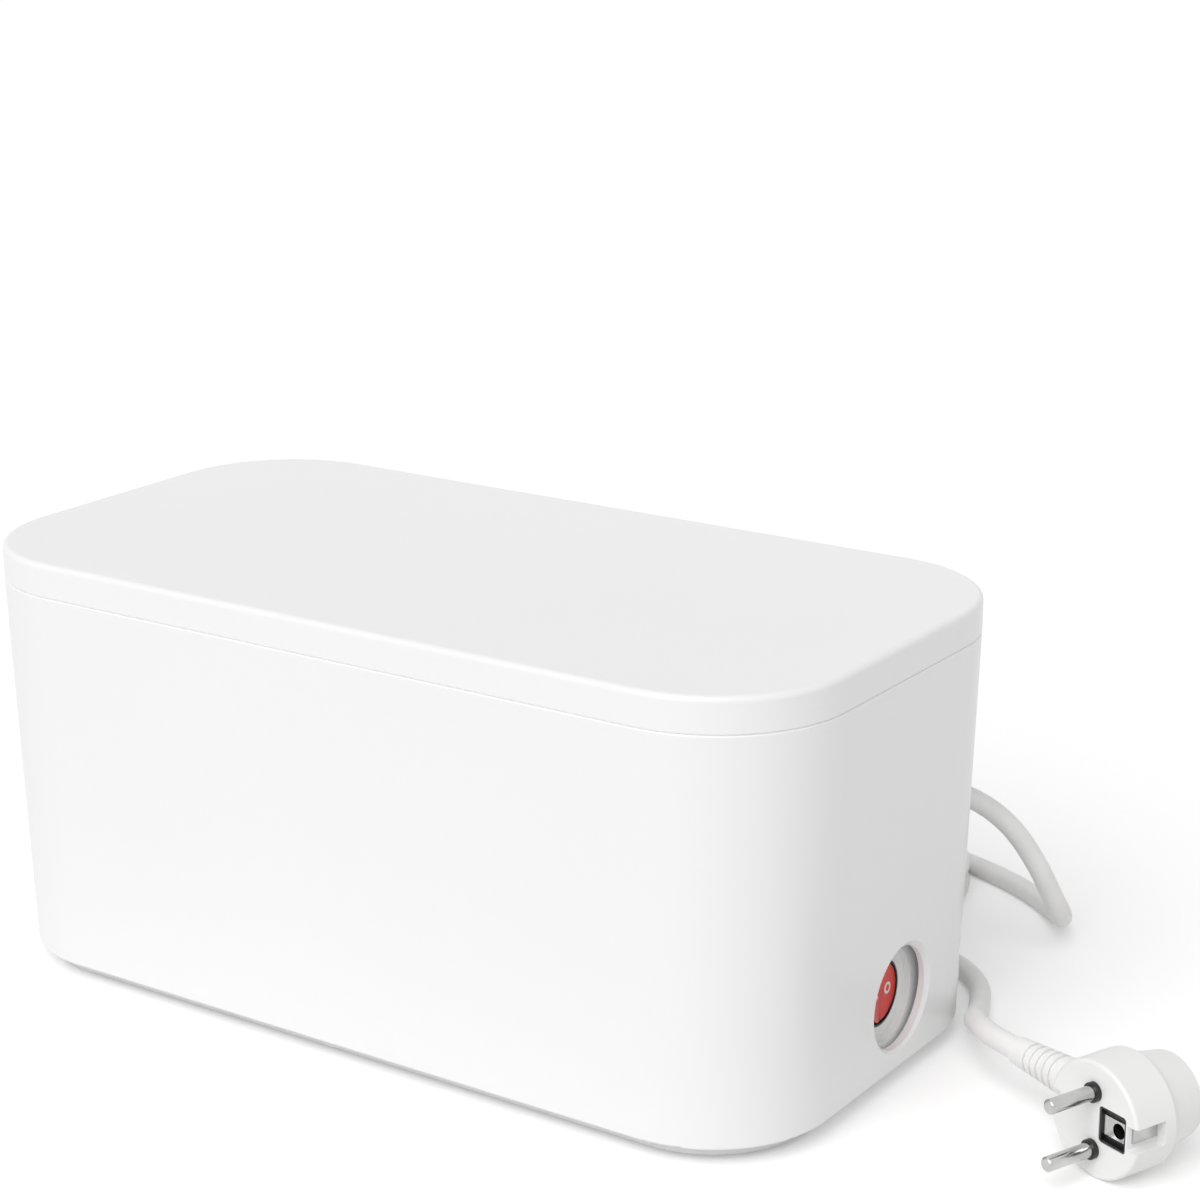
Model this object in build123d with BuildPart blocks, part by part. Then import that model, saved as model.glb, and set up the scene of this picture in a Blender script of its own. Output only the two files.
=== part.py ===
from build123d import *
import os
from math import atan, cos, degrees, pi, radians, sin, tan

# Cable management box: an open box with a lid, and a socket strip that lifts out of it.
# Millimetres. +X is the right end, -Y the front, +Z up; the origin is the middle of the underside.

os.makedirs("parts", exist_ok=True)

# Box shell
box_length = 330.0
box_depth = 170.0
box_corner = 46.0
shoulder_z = 142.0
box_draft_inset = 4.2
wall = 3.5
tongue_height = 5.0
tongue_clearance = 0.3
floor_thickness = 2.5
bottom_edge_radius = 1.0

# Plinth tray and feet under the shell
foot_height = 1.5
foot_radius = 8.0
foot_recess = 0.6
foot_chamfer = 0.5
foot_from_end = 69.0
foot_from_side = 25.0
plinth_height = 4.7
plinth_inset = 6.8
base_screw_from_end = 35.0
base_screw_from_side = 25.0
base_screw_radius = 1.5
base_screw_head = 3.0
base_screw_head_height = 1.8
base_screw_clearance = 0.2
base_screw_recess = 0.5
base_screw_tip_gap = 0.2
base_screw_slot = 0.6
base_screw_slot_depth = 0.9

# Openings in the shell
slot_width = 14.0
slot_bottom_z = 62.0
slot_from_end = 53.0
slot_cut_depth = 16.0
port_margin = 1.4
port_bevel = 1.4
port_cut_depth = 12.0
port_from_front = 86.0
port_z = 30.5
rear_port_from_end = 23.2
rear_port_z = 29.5
rear_port_cut_margin = 1.0
floor_opening_length = 30.0
floor_opening_depth = 68.0
floor_opening_corner = 14.0
floor_opening_from_end = 41.0
floor_opening_from_rear = 65.0

# Lid
lid_height = 12.0
lid_top = 3.0
lid_lip = 1.5
lid_edge_radius = 2.0
seam_bevel = 0.5
frame_clearance = 0.7
frame_thickness = 2.2
frame_drop = 8.0
frame_flange = 6.0
frame_flange_thickness = 1.5
latch_from_end = 77.0
latch_width = 9.0
latch_height = 3.0
latch_drop = 2.8
pip_height = 0.4
pip_margin = 0.5
notch_width = 6.0
notch_height = 1.6
notch_angles = (-66.0, -4.0)

# Socket strip housing
strip_end_clearance = 0.8
strip_front_clearance = 0.3
strip_corner_easing = 1.7
strip_height = 51.0
strip_draft_inset = 2.0
strip_wall = 2.5
strip_edge_radius = 2.0
wiring_depth = 27.0
left_wing_length = 48.5
left_wing_depth = 98.0
left_wing_corner = 32.0
left_wing_inner_corner = 5.0
left_wing_valley = 8.0
right_wing_length = 69.5
right_wing_corner = 8.0
right_wing_inner_corner = 18.0
right_wing_valley = 18.0
right_wing_clearance = 0.2
wing_step_share = 0.45
base_thickness = 2.0
base_clearance = 0.2
strip_screw_radius = 1.3
strip_screw_length = 12.0
strip_screw_head = 2.6
strip_screw_head_height = 1.0
strip_screw_web = 0.8
strip_boss_radius = 3.5
front_screw_inset = 13.0
front_screw_before_wells = 29.0
front_screw_after_wells = 25.0
rear_screw_inset = 15.0
rear_screw_beside_board = 10.0
wing_screw_inset = 13.0
corner_screw_inset = 11.0
right_screw_from_end = 12.5
left_screw_from_end = 22.5

# Sockets
well_count = 4
well_pitch = 50.0
well_from_front = 31.0
well_turn = 45.0
well_radius = 20.0
well_depth = 17.5
well_wall = 2.0
row_left_share = 0.6
pin_offset = 9.5
pin_hole_clearance = 0.6
rib_reach = 4.2
rib_gap = 7.0
rib_width = 8.0
rib_wall_overlap = 0.8
rib_below_top = 1.5
rib_round = 0.4
rib_hole_gap = 0.1

# Contacts inside the strip
earth_bar_z = 20.0
bar_thickness = 0.8
bar_width = 6.0
bar_rise = 4.2
neutral_bar_tail = 9.2
earth_arm_width = 8.0
clip_thickness = 0.8
clip_leg_behind = 1.7
clip_bulge_proud = 0.2
clip_bulge_below = 4.5
clip_tip_behind = 0.7
clip_tip_below = 0.8
clip_shoulder_below = 15.2
clip_slot_clearance = 0.5
tube_bore_clearance = 0.05
tube_wall = 0.65
carrier_thickness = 2.0
carrier_margin = 1.0
shutter_gap = 0.3
shutter_thickness = 1.6
shutter_margin = 3.0
shutter_hole_clearance = 0.2
shutter_turn = 40.0
shutter_pin_radius = 1.5
shutter_pin_clearance = 0.05
spring_radius = 4.2
spring_wire_radius = 0.45
spring_pocket_outer = 5.2
spring_pocket_inner = 3.0
spring_pocket_depth = 1.0
post_radius = 2.5
carrier_post_offset = 16.0

# USB sockets
usb_from_end = 26.5
usb_from_front = 47.0
usb_pitch = 16.0
usb_a_width = 13.2
usb_a_height = 5.8
usb_c_width = 8.9
usb_c_height = 3.2
usb_shell_wall = 0.35
usb_clearance = 0.2
usb_below_top = 0.5
usb_tongue_width = 11.2
usb_tongue_thickness = 1.9
usb_tongue_below = 2.2
usb_tongue_root = 2.0
usb_c_tongue_width = 6.4
usb_c_tongue_thickness = 0.7
board_below_top = 18.7
board_thickness = 1.6
board_corner = 2.0
board_left = 16.0
board_right = 18.0
board_front = 26.0
board_rear = 35.0
board_post_inset = 6.0
board_post_radius = 3.0
transformer_length = 20.0
transformer_depth = 17.0
transformer_height = 15.0
transformer_behind = 3.0
transformer_round = 1.5
capacitor_radius = 4.0
capacitor_length = 14.0
capacitor_behind = 21.0
capacitor_ahead = 13.0
capacitor_round = 0.5

# Cable pass-through in the strip
hex_from_end = 28.0
hex_from_front = 47.0
hex_length = 60.0
hex_width = 19.0
hex_side = 39.0
hex_corner = 3.0
hex_wall = 2.0

# Switch
recess_radius = 16.0
recess_depth = 2.5
panel_thickness = 1.6
panel_boss_margin = 2.0
panel_boss_overlap = 0.8
rocker_radius = 9.9
rocker_gap = 0.7
rocker_back = 4.0
rocker_crown = 3.8
rocker_slope = 7.5
rocker_tilt = 7.5
neck_wall = 0.7
neck_clearance = 0.1
neck_proud = 0.5
switch_body_wall = 2.9
switch_body_length = 15.5
aperture_depth = 7.0
pivot_behind_panel = 2.0
axle_radius = 1.5
axle_clearance = 0.05
axle_seat = 1.8
axle_end_clearance = 0.2
tab_length = 8.0
tab_width = 6.3
tab_thickness = 0.8
tab_spacing = 7.0

# Mains lead
lead_radius = 3.75
core_radius = 1.2
core_offset = 2.2
wire_bend = 2.9
wire_gap = 0.1
wire_lead_out = 5.0
wire_beside_post = 4.5
earth_wire_beside_post = 6.5
wire_behind_carrier = 3.0
wire_under_carrier = 2.5
live_wire_reach = 16.0
live_wire_back = 2.0
live_wire_rise = 5.0
return_wire_behind_wells = 2.0
tab_approach = 20.0
entry_beside_wing = 25.0
entry_below_top = 14.7
boot_angle = 28.0
boot_root_radius = 6.5
boot_tip_wall = 0.85
boot_length = 17.0
boot_neck_length = 6.5
boot_seat_gap = 0.25
boot_neck_radius = 4.9
boot_collar_radius = 6.4
boot_collar_thickness = 1.6
boot_first_groove = 3.2
boot_groove_width = 1.3
boot_groove_depth = 0.9
boot_groove_pitch = 3.2
boot_groove_count = 4
boot_hole_clearance = 0.1
inner_end_length = 13.0
clamp_inset = 13.0
clamp_length = 20.0
clamp_width = 6.0
clamp_side_clearance = 0.15
clamp_gap = 0.25
clamp_bar_height = 2.4
clamp_screw_offset = 7.0
clamp_screw_radius = 1.2
clamp_screw_head = 2.4
clamp_screw_head_height = 1.4
clamp_screw_length = 9.0

# Points of the free lead, from the strain relief over the rear slot to the coil
lead_route = (
    (70.12, 23.87, 45.0), (76.3, 35.5, 45.0), (83.0, 47.6, 47.2), (91.6, 58.0, 52.3),
    (101.0, 66.4, 59.1), (109.3, 75.6, 65.9), (115.2, 89.0, 68.8), (125.0, 100.8, 67.7),
    (136.8, 109.6, 62.0), (147.3, 115.3, 52.4), (154.9, 119.8, 39.0), (157.9, 126.7, 25.3),
    (157.2, 137.6, 13.9), (151.4, 150.7, 6.3), (141.2, 162.8, 3.9), (127.4, 172.8, 3.75),
    (110.8, 180.9, 3.75), (92.4, 187.0, 3.75), (73.4, 190.9, 4.0),
)
# Points of the free lead from the coil to the plug
tail_route = (
    (66.0, 98.8, 12.0), (81.0, 98.6, 10.6), (96.6, 99.8, 6.4), (112.0, 101.2, 3.8),
    (127.4, 100.6, 3.75), (141.4, 95.2, 3.75), (152.6, 83.9, 3.75), (159.2, 69.8, 4.2),
    (165.2, 56.6, 7.8), (170.2, 43.6, 12.8), (177.0, 31.9, 17.3), (186.8, 22.5, 19.0),
    (199.3, 17.5, 19.0),
)
coil_x = 60.0
coil_y = 145.0
coil_outer_radius = 50.5
coil_turns_across = 2
coil_layers = 2
coil_base = 0.8
tie_width = 14.0
tie_thickness = 0.8
tie_clearance = 0.2
tie_slack = 1.0

# Plug
plug_heading = -21.8
plug_radius = 19.0
plug_face_thickness = 17.0
plug_back_length = 15.0
plug_back_radius = 17.0
plug_back_taper = 10.0
plug_edge_radius = 1.2
plug_pin_radius = 2.4
plug_pin_length = 19.0
plug_pin_tip = 1.0
plug_pin_core = 2.0
plug_collar_radius = 3.2
plug_collar_length = 1.6
plug_pin_root = 8.0
plug_slot_width = 8.0
plug_slot_depth = 4.5
plug_slot_length = 12.0
plug_clip_width = 4.6
plug_clip_thickness = 0.7
plug_clip_length = 10.0
plug_insert_length = 11.5
plug_insert_width = 12.0
plug_insert_depth = 13.0
plug_insert_corner = 1.2
plug_insert_web = 0.6
plug_insert_below_face = 0.3
plug_insert_clearance = 0.1
plug_insert_rim = 0.8
plug_insert_pocket = 1.4
plug_earth_hole_offset = 10.0
plug_earth_hole_clearance = 0.1
plug_earth_hole_depth = 11.0
plug_earth_plate_width = 6.4
plug_earth_plate_thickness = 0.6
plug_outlet_radius = 7.0
plug_outlet_length = 4.0
plug_outlet_back = 14.0
plug_boot_length = 26.0
plug_boot_root_radius = 6.6
plug_boot_first_groove = 4.8
plug_boot_groove_count = 5

# Levels worked out from the sizes above
body_z = foot_height + plinth_height
floor_z = body_z + floor_thickness
tongue_top_z = shoulder_z + tongue_height
lid_top_z = shoulder_z + lid_height
lid_under_z = lid_top_z - lid_top
frame_bottom_z = shoulder_z - frame_drop
strip_top_z = floor_z + strip_height
strip_under_z = strip_top_z - strip_wall
base_top_z = floor_z + base_thickness
well_floor_z = strip_top_z - well_depth
well_cup_z = well_floor_z - well_wall
shutter_z = well_cup_z - shutter_gap - shutter_thickness
carrier_top_z = shutter_z - shutter_gap
carrier_z = carrier_top_z - carrier_thickness
bar_z = earth_bar_z + bar_rise
tube_z = bar_z + bar_thickness
board_z = strip_top_z - board_below_top
board_top_z = board_z + board_thickness
entry_z = strip_top_z - entry_below_top

# Drafts, in degrees
box_draft = degrees(atan(box_draft_inset / (shoulder_z - body_z)))
strip_draft = degrees(atan(strip_draft_inset / strip_height))

# Places in the box, measured in from its ends and sides
foot_x = box_length / 2 - foot_from_end
foot_y = box_depth / 2 - foot_from_side
base_screw_spacing_x = box_length / 2 - base_screw_from_end
base_screw_spacing_y = box_depth - 2 * base_screw_from_side
slot_x = box_length / 2 - slot_from_end
latch_x = box_length / 2 - latch_from_end
port_radius = recess_radius + port_margin
rear_port_x = box_length / 2 - rear_port_from_end
floor_opening_x = box_length / 2 - floor_opening_from_end
floor_opening_y = box_depth / 2 - floor_opening_from_rear
tongue_step = lid_lip + tongue_clearance
frame_inset = wall + frame_clearance

# Plan of the strip: it fills the front of the box; its right wing reaches back into the rounded corner
shell_inset = wall + box_draft_inset
strip_half = box_length / 2 - shell_inset - strip_end_clearance
strip_front_y = shell_inset + strip_front_clearance - box_depth / 2
strip_front_corner = box_corner - shell_inset + strip_corner_easing
well_y = strip_front_y + well_from_front
well_outer = well_radius + well_wall
middle_rear_y = well_y + well_outer + wiring_depth
left_wing_x = left_wing_length - strip_half
left_wing_rear_y = strip_front_y + left_wing_depth
right_wing_x = strip_half - right_wing_length
wing_corner_reach = box_corner - shell_inset - right_wing_corner - right_wing_clearance
wing_corner_x = strip_half - right_wing_corner - (box_length / 2 - box_corner)
wing_corner_y = (wing_corner_reach**2 - wing_corner_x**2) ** 0.5
right_wing_rear_y = box_depth / 2 - box_corner + wing_corner_y + right_wing_corner
widest_wing_round = wing_step_share * (right_wing_rear_y - middle_rear_y)

# USB sockets and cable pass-through, measured in from the strip's ends and front
usb_x = usb_from_end - strip_half
usb_c_y = strip_front_y + usb_from_front
usb_a_y = (usb_c_y - usb_pitch, usb_c_y + usb_pitch)
board_x = (usb_x - board_left, usb_x + board_right)
board_y = (usb_c_y - board_front, usb_c_y + board_rear)
transformer_y = usb_c_y + transformer_behind
capacitor_y = (usb_c_y + capacitor_behind, usb_c_y - capacitor_ahead)
hex_x = strip_half - hex_from_end
hex_y = strip_front_y + hex_from_front

# The row of sockets, between the USB board and the pass-through
row_space = hex_x - hex_width / 2 - hex_wall - board_x[1]
row_slack = row_space - (well_count - 1) * well_pitch - 2 * well_outer
first_well_x = board_x[1] + row_left_share * row_slack + well_outer
well_x = [first_well_x + number * well_pitch for number in range(well_count)]
wells = [Location((x, well_y, 0), (0, 0, well_turn)) for x in well_x]
post_rows = [(left + right) / 2 for left, right in zip(well_x, well_x[1:])]
live_y = well_y + pin_offset * cos(radians(well_turn))
neutral_y = well_y - pin_offset * cos(radians(well_turn))
pin_x_shift = pin_offset * sin(radians(well_turn))

# What goes round the pins of a plug
tube_bore_radius = plug_pin_radius + tube_bore_clearance
tube_radius = tube_bore_radius + tube_wall
pin_hole_radius = plug_pin_radius + pin_hole_clearance
shutter_hole_radius = pin_hole_radius + shutter_hole_clearance
shutter_radius = well_radius - shutter_margin
clip_leg_radius = well_radius + clip_leg_behind
clip_bulge_radius = well_radius - clip_bulge_proud
clip_tip_radius = well_radius + clip_tip_behind
live_bar_end = max(well_x) + pin_x_shift + tube_radius
neutral_bar_end = live_bar_end + neutral_bar_tail

# Screws of the strip: front, rear of the middle, right wing and left wing
strip_screw_places = (
    (min(well_x) - front_screw_before_wells, strip_front_y + front_screw_inset),
    (max(well_x) + front_screw_after_wells, strip_front_y + front_screw_inset),
    (board_x[1] + rear_screw_beside_board, middle_rear_y - rear_screw_inset),
    ((max(well_x) + min(well_x)) / 2, middle_rear_y - rear_screw_inset),
    (right_wing_x + wing_screw_inset, right_wing_rear_y - wing_screw_inset),
    (strip_half - right_screw_from_end, right_wing_rear_y - corner_screw_inset),
    (left_screw_from_end - strip_half, left_wing_rear_y - corner_screw_inset),
)

# Switch and lead entry
port_y = strip_front_y + port_from_front
aperture_radius = rocker_radius + rocker_gap
neck_radius = aperture_radius + neck_wall
switch_body_radius = aperture_radius + switch_body_wall
axle_reach = aperture_radius + axle_seat
entry_x = right_wing_x - entry_beside_wing
clamp_y = middle_rear_y - clamp_inset
boot_tip_radius = lead_radius + boot_tip_wall
coil_inner_radius = coil_outer_radius - 2 * lead_radius * coil_turns_across
coil_height = 2 * lead_radius * coil_layers


def box_outline(inset, mode=Mode.ADD):
    """Plan of the box, drawn in by inset all round."""
    RectangleRounded(box_length - 2 * inset, box_depth - 2 * inset, box_corner - inset, mode=mode)


def box_inset(z):
    """How far the drafted wall has come in at height z."""
    return box_draft_inset * (shoulder_z - z) / (shoulder_z - body_z)


def strip_inset(z):
    """How far the drafted wall of the strip has come in at height z."""
    return strip_draft_inset * (z - floor_z) / strip_height


def bend_radii(points):
    """The largest even radius at each corner of a lead: 0.45 of the shorter run over tan(half the turn)."""
    radii = []
    for before, corner, after in zip(points, points[1:], points[2:]):
        run_in = Vector(corner) - Vector(before)
        run_out = Vector(after) - Vector(corner)
        turn = radians(run_in.get_angle(run_out))
        radii.append(0.45 * min(run_in.length, run_out.length) / tan(turn / 2))
    return radii


# ---------------------------------------------------------------- box shell
end_face_x = box_length / 2 - box_inset(port_z)
pip_z = shoulder_z - latch_drop - latch_height + pip_margin
pip_y = box_depth / 2 - wall - box_inset(pip_z)
with BuildPart() as box_shell:
    with BuildSketch(Plane.XY.offset(shoulder_z)):
        box_outline(0)
    extrude(amount=-(shoulder_z - body_z), taper=box_draft)
    fillet(box_shell.edges().group_by(Axis.Z)[0], bottom_edge_radius)
    chamfer(box_shell.edges().group_by(Axis.Z)[-1], seam_bevel)
    with BuildSketch(Plane.XY.offset(shoulder_z)):
        box_outline(tongue_step)
    extrude(amount=tongue_height)
    with BuildSketch(Plane.XY.offset(shoulder_z)):
        box_outline(wall)
    extrude(amount=-(shoulder_z - floor_z), taper=box_draft, mode=Mode.SUBTRACT)
    with BuildSketch(Plane.XY.offset(shoulder_z)):
        box_outline(wall)
    extrude(amount=tongue_height, mode=Mode.SUBTRACT)
    # small pips that the lid's windows snap over
    with BuildSketch(Plane.XY.offset(pip_z)):
        for side in (-1, 1):
            with Locations((-latch_x, side * pip_y), (latch_x, side * pip_y)):
                Rectangle(latch_width - 2 * pip_margin, 2 * pip_height)
    extrude(amount=latch_height - 2 * pip_margin)
    # two open-topped slots in the rear wall
    with BuildSketch(Plane.XZ.offset(-box_depth / 2)):
        with Locations((-slot_x, slot_bottom_z + slot_width / 2), (slot_x, slot_bottom_z + slot_width / 2)):
            Circle(slot_width / 2)
            Rectangle(slot_width, tongue_top_z - slot_bottom_z, align=(Align.CENTER, Align.MIN))
    extrude(amount=slot_cut_depth, mode=Mode.SUBTRACT)
    # round port in the right end, bevelled outside
    with BuildSketch(Plane.YZ.offset(end_face_x + port_bevel)):
        with Locations((port_y, port_z)):
            Circle(port_radius + 2 * port_bevel)
    extrude(amount=-2 * port_bevel, taper=45, mode=Mode.SUBTRACT)
    with BuildSketch(Plane.YZ.offset(end_face_x)):
        with Locations((port_y, port_z)):
            Circle(port_radius)
    extrude(amount=-port_cut_depth, mode=Mode.SUBTRACT)
    # round port through the rear right corner
    with BuildSketch(Plane.XZ.offset(-box_depth / 2)):
        with Locations((rear_port_x, rear_port_z)):
            Circle(port_radius)
    extrude(amount=box_corner + rear_port_cut_margin, mode=Mode.SUBTRACT)
    # opening in the floor, and the holes in which the base screws cut their threads
    with BuildSketch(Plane.XY.offset(body_z)):
        with Locations((floor_opening_x, floor_opening_y)):
            RectangleRounded(floor_opening_length, floor_opening_depth, floor_opening_corner)
        with GridLocations(base_screw_spacing_x, base_screw_spacing_y, 3, 2):
            Circle(base_screw_radius)
    extrude(amount=floor_thickness, mode=Mode.SUBTRACT)

# ---------------------------------------------------------------- plinth tray, its screws and the feet
head_z = foot_height + base_screw_recess
base_screw_top_z = floor_z - base_screw_tip_gap
with BuildPart() as base_plate:
    with BuildSketch(Plane.XY.offset(foot_height)):
        box_outline(box_draft_inset + plinth_inset)
        with Locations((floor_opening_x, floor_opening_y)):
            RectangleRounded(
                floor_opening_length, floor_opening_depth, floor_opening_corner, mode=Mode.SUBTRACT
            )
        with GridLocations(base_screw_spacing_x, base_screw_spacing_y, 3, 2):
            Circle(base_screw_radius + base_screw_clearance, mode=Mode.SUBTRACT)
    extrude(amount=plinth_height)
    with BuildSketch(Plane.XY.offset(foot_height)):
        with GridLocations(base_screw_spacing_x, base_screw_spacing_y, 3, 2):
            Circle(base_screw_head + base_screw_clearance)
    extrude(amount=base_screw_recess + base_screw_head_height, mode=Mode.SUBTRACT)
    with BuildSketch(Plane.XY.offset(foot_height)):
        with GridLocations(2 * foot_x, 2 * foot_y, 2, 2):
            Circle(foot_radius)
    extrude(amount=foot_recess, mode=Mode.SUBTRACT)

with BuildPart() as base_screws:
    with BuildSketch(Plane.XY.offset(head_z)):
        with GridLocations(base_screw_spacing_x, base_screw_spacing_y, 3, 2):
            Circle(base_screw_head)
    extrude(amount=base_screw_head_height)
    with BuildSketch(Plane.XY.offset(head_z + base_screw_head_height)):
        with GridLocations(base_screw_spacing_x, base_screw_spacing_y, 3, 2):
            Circle(base_screw_radius)
    extrude(amount=base_screw_top_z - head_z - base_screw_head_height)
    with BuildSketch(Plane.XY.offset(head_z)):
        with GridLocations(base_screw_spacing_x, base_screw_spacing_y, 3, 2):
            Rectangle(base_screw_head, base_screw_slot)
            Rectangle(base_screw_slot, base_screw_head)
    extrude(amount=base_screw_slot_depth, mode=Mode.SUBTRACT)

with BuildPart() as rubber_feet:
    with BuildSketch():
        with GridLocations(2 * foot_x, 2 * foot_y, 2, 2):
            Circle(foot_radius)
    extrude(amount=foot_height + foot_recess)
    chamfer(rubber_feet.edges().group_by(Axis.Z)[0], foot_chamfer)

# ---------------------------------------------------------------- lid: cover and inner frame
with BuildPart() as lid_cover:
    with BuildSketch(Plane.XY.offset(shoulder_z)):
        box_outline(0)
    extrude(amount=lid_height)
    fillet(lid_cover.edges().group_by(Axis.Z)[-1], lid_edge_radius)
    chamfer(lid_cover.edges().group_by(Axis.Z)[0], seam_bevel)
    with BuildSketch(Plane.XY.offset(shoulder_z)):
        box_outline(lid_lip)
    extrude(amount=lid_height - lid_top, mode=Mode.SUBTRACT)

frame_corner = box_corner - frame_inset
with BuildPart() as lid_frame:
    with BuildSketch(Plane.XY.offset(frame_bottom_z)):
        box_outline(frame_inset)
        box_outline(frame_inset + frame_thickness, mode=Mode.SUBTRACT)
    extrude(amount=lid_under_z - frame_bottom_z)
    with BuildSketch(Plane.XY.offset(lid_under_z - frame_flange_thickness)):
        box_outline(frame_inset)
        box_outline(frame_inset + frame_thickness + frame_flange, mode=Mode.SUBTRACT)
    extrude(amount=frame_flange_thickness)
    # latch windows, front and rear
    with BuildSketch(Plane.XY.offset(shoulder_z - latch_drop - latch_height)):
        with GridLocations(2 * latch_x, box_depth - 2 * frame_inset - frame_thickness, 2, 2):
            Rectangle(latch_width, 2 * frame_thickness)
    extrude(amount=latch_height, mode=Mode.SUBTRACT)
    # small notches in the lower edge at the corners
    with BuildSketch(Plane.XY.offset(frame_bottom_z)):
        for side_x in (-1, 1):
            for side_y in (-1, 1):
                for angle in notch_angles:
                    reach = frame_corner - frame_thickness / 2
                    notch_x = side_x * (box_length / 2 - box_corner + reach * cos(radians(angle)))
                    notch_y = side_y * (box_corner - box_depth / 2 + reach * sin(radians(angle)))
                    with Locations(Location((notch_x, notch_y, 0), (0, 0, side_x * side_y * angle))):
                        Rectangle(3 * frame_thickness, notch_width)
    extrude(amount=notch_height, mode=Mode.SUBTRACT)

# ---------------------------------------------------------------- socket strip: shared plans
with BuildSketch() as strip_plan:
    with BuildLine():
        FilletPolyline(
            (-strip_half, strip_front_y),
            (strip_half, strip_front_y),
            (strip_half, right_wing_rear_y),
            (right_wing_x, right_wing_rear_y),
            (right_wing_x, middle_rear_y),
            (left_wing_x, middle_rear_y),
            (left_wing_x, left_wing_rear_y),
            (-strip_half, left_wing_rear_y),
            radius=(
                strip_front_corner, strip_front_corner, right_wing_corner,
                min(right_wing_inner_corner, widest_wing_round), min(right_wing_valley, widest_wing_round),
                left_wing_valley, left_wing_inner_corner, left_wing_corner,
            ),
            close=True,
        )
    make_face()

with BuildSketch() as hex_plan:
    with BuildLine():
        FilletPolyline(
            (hex_x + hex_width / 2, hex_y - hex_side / 2),
            (hex_x + hex_width / 2, hex_y + hex_side / 2),
            (hex_x, hex_y + hex_length / 2),
            (hex_x - hex_width / 2, hex_y + hex_side / 2),
            (hex_x - hex_width / 2, hex_y - hex_side / 2),
            (hex_x, hex_y - hex_length / 2),
            radius=hex_corner,
            close=True,
        )
    make_face()

# Guide ribs at both ends of the pin axis of each socket; they run out into the wall of the well
rib_height = well_depth - rib_below_top
rib_inner = well_radius - rib_reach
rib_near = rib_gap / 2
rib_far = rib_near + rib_width
rib_root_near = ((well_radius + rib_wall_overlap) ** 2 - rib_near**2) ** 0.5
rib_root_far = ((well_radius + rib_wall_overlap) ** 2 - rib_far**2) ** 0.5
with BuildPart() as guide_ribs:
    with BuildSketch(Plane.XY.offset(well_floor_z)):
        with Locations(*wells):
            for side_x in (-1, 1):
                for side_y in (-1, 1):
                    Polygon(
                        (side_x * rib_near, side_y * rib_inner),
                        (side_x * rib_far, side_y * rib_inner),
                        (side_x * rib_far, side_y * rib_root_far),
                        (side_x * rib_near, side_y * rib_root_near),
                        align=None,
                    )
    extrude(amount=rib_height)
    fillet(guide_ribs.edges().filter_by(Axis.Z), rib_round)
    fillet(guide_ribs.edges().group_by(Axis.Z)[-1], rib_round)

# ---------------------------------------------------------------- strip cover
panel_x = strip_half - strip_inset(port_z) - recess_depth
panel_inner_x = panel_x - panel_thickness
entry_wall_y = middle_rear_y - strip_inset(entry_z)
clip_slot_outer = clip_leg_radius + clip_thickness / 2 + clip_slot_clearance
clip_slot_leg = clip_leg_radius - clip_thickness / 2 - clip_slot_clearance
clip_slot_bulge = clip_bulge_radius - clip_thickness / 2 - clip_slot_clearance
clip_slot_width = earth_arm_width + 2 * clip_slot_clearance
usb_a_hole = (usb_a_width + 2 * usb_clearance, usb_a_height + 2 * usb_clearance)
usb_c_hole = (usb_c_width + 2 * usb_clearance, usb_c_height + 2 * usb_clearance)
with BuildPart() as strip_cover:
    with BuildSketch(Plane.XY.offset(floor_z)):
        add(strip_plan.sketch)
    extrude(amount=strip_height, taper=strip_draft)
    fillet(strip_cover.edges().group_by(Axis.Z)[-1], strip_edge_radius)
    with BuildSketch(Plane.XY.offset(floor_z)):
        add(strip_plan.sketch)
        offset(amount=-strip_wall)
    extrude(amount=strip_under_z - floor_z, taper=strip_draft, mode=Mode.SUBTRACT)
    # switch panel
    with BuildSketch(Plane.YZ.offset(panel_inner_x)):
        with Locations((port_y, port_z)):
            Circle(recess_radius + panel_boss_margin)
    extrude(amount=panel_thickness + panel_boss_overlap)
    # mouths of the wells, with a notch for each earth clip
    with BuildSketch(Plane.XY.offset(strip_under_z)):
        with Locations(*wells):
            Circle(well_radius)
            with GridLocations(clip_slot_outer + clip_slot_bulge, 0, 2, 1):
                Rectangle(clip_slot_outer - clip_slot_bulge, clip_slot_width)
    extrude(amount=strip_wall, mode=Mode.SUBTRACT)
    # cable pass-through, USB openings, switch recess and lead entry
    with BuildSketch(Plane.XY.offset(strip_under_z)):
        add(hex_plan.sketch)
    extrude(amount=strip_wall, mode=Mode.SUBTRACT)
    with BuildSketch(Plane.XY.offset(strip_under_z)):
        with Locations(*[(usb_x, y) for y in usb_a_y]):
            RectangleRounded(*usb_a_hole, usb_clearance)
        with Locations((usb_x, usb_c_y)):
            SlotOverall(*usb_c_hole)
    extrude(amount=strip_wall, mode=Mode.SUBTRACT)
    with BuildSketch(Plane.YZ.offset(panel_x)):
        with Locations((port_y, port_z)):
            Circle(recess_radius)
    extrude(amount=2 * recess_depth, mode=Mode.SUBTRACT)
    with BuildSketch(Plane.YZ.offset(panel_inner_x)):
        with Locations((port_y, port_z)):
            Circle(neck_radius + neck_clearance)
    extrude(amount=panel_thickness, mode=Mode.SUBTRACT)
    with BuildSketch(Plane.XZ.offset(-entry_wall_y - strip_wall)):
        with Locations((entry_x, entry_z)):
            Circle(boot_neck_radius + boot_hole_clearance)
    extrude(amount=3 * strip_wall, mode=Mode.SUBTRACT)

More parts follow.
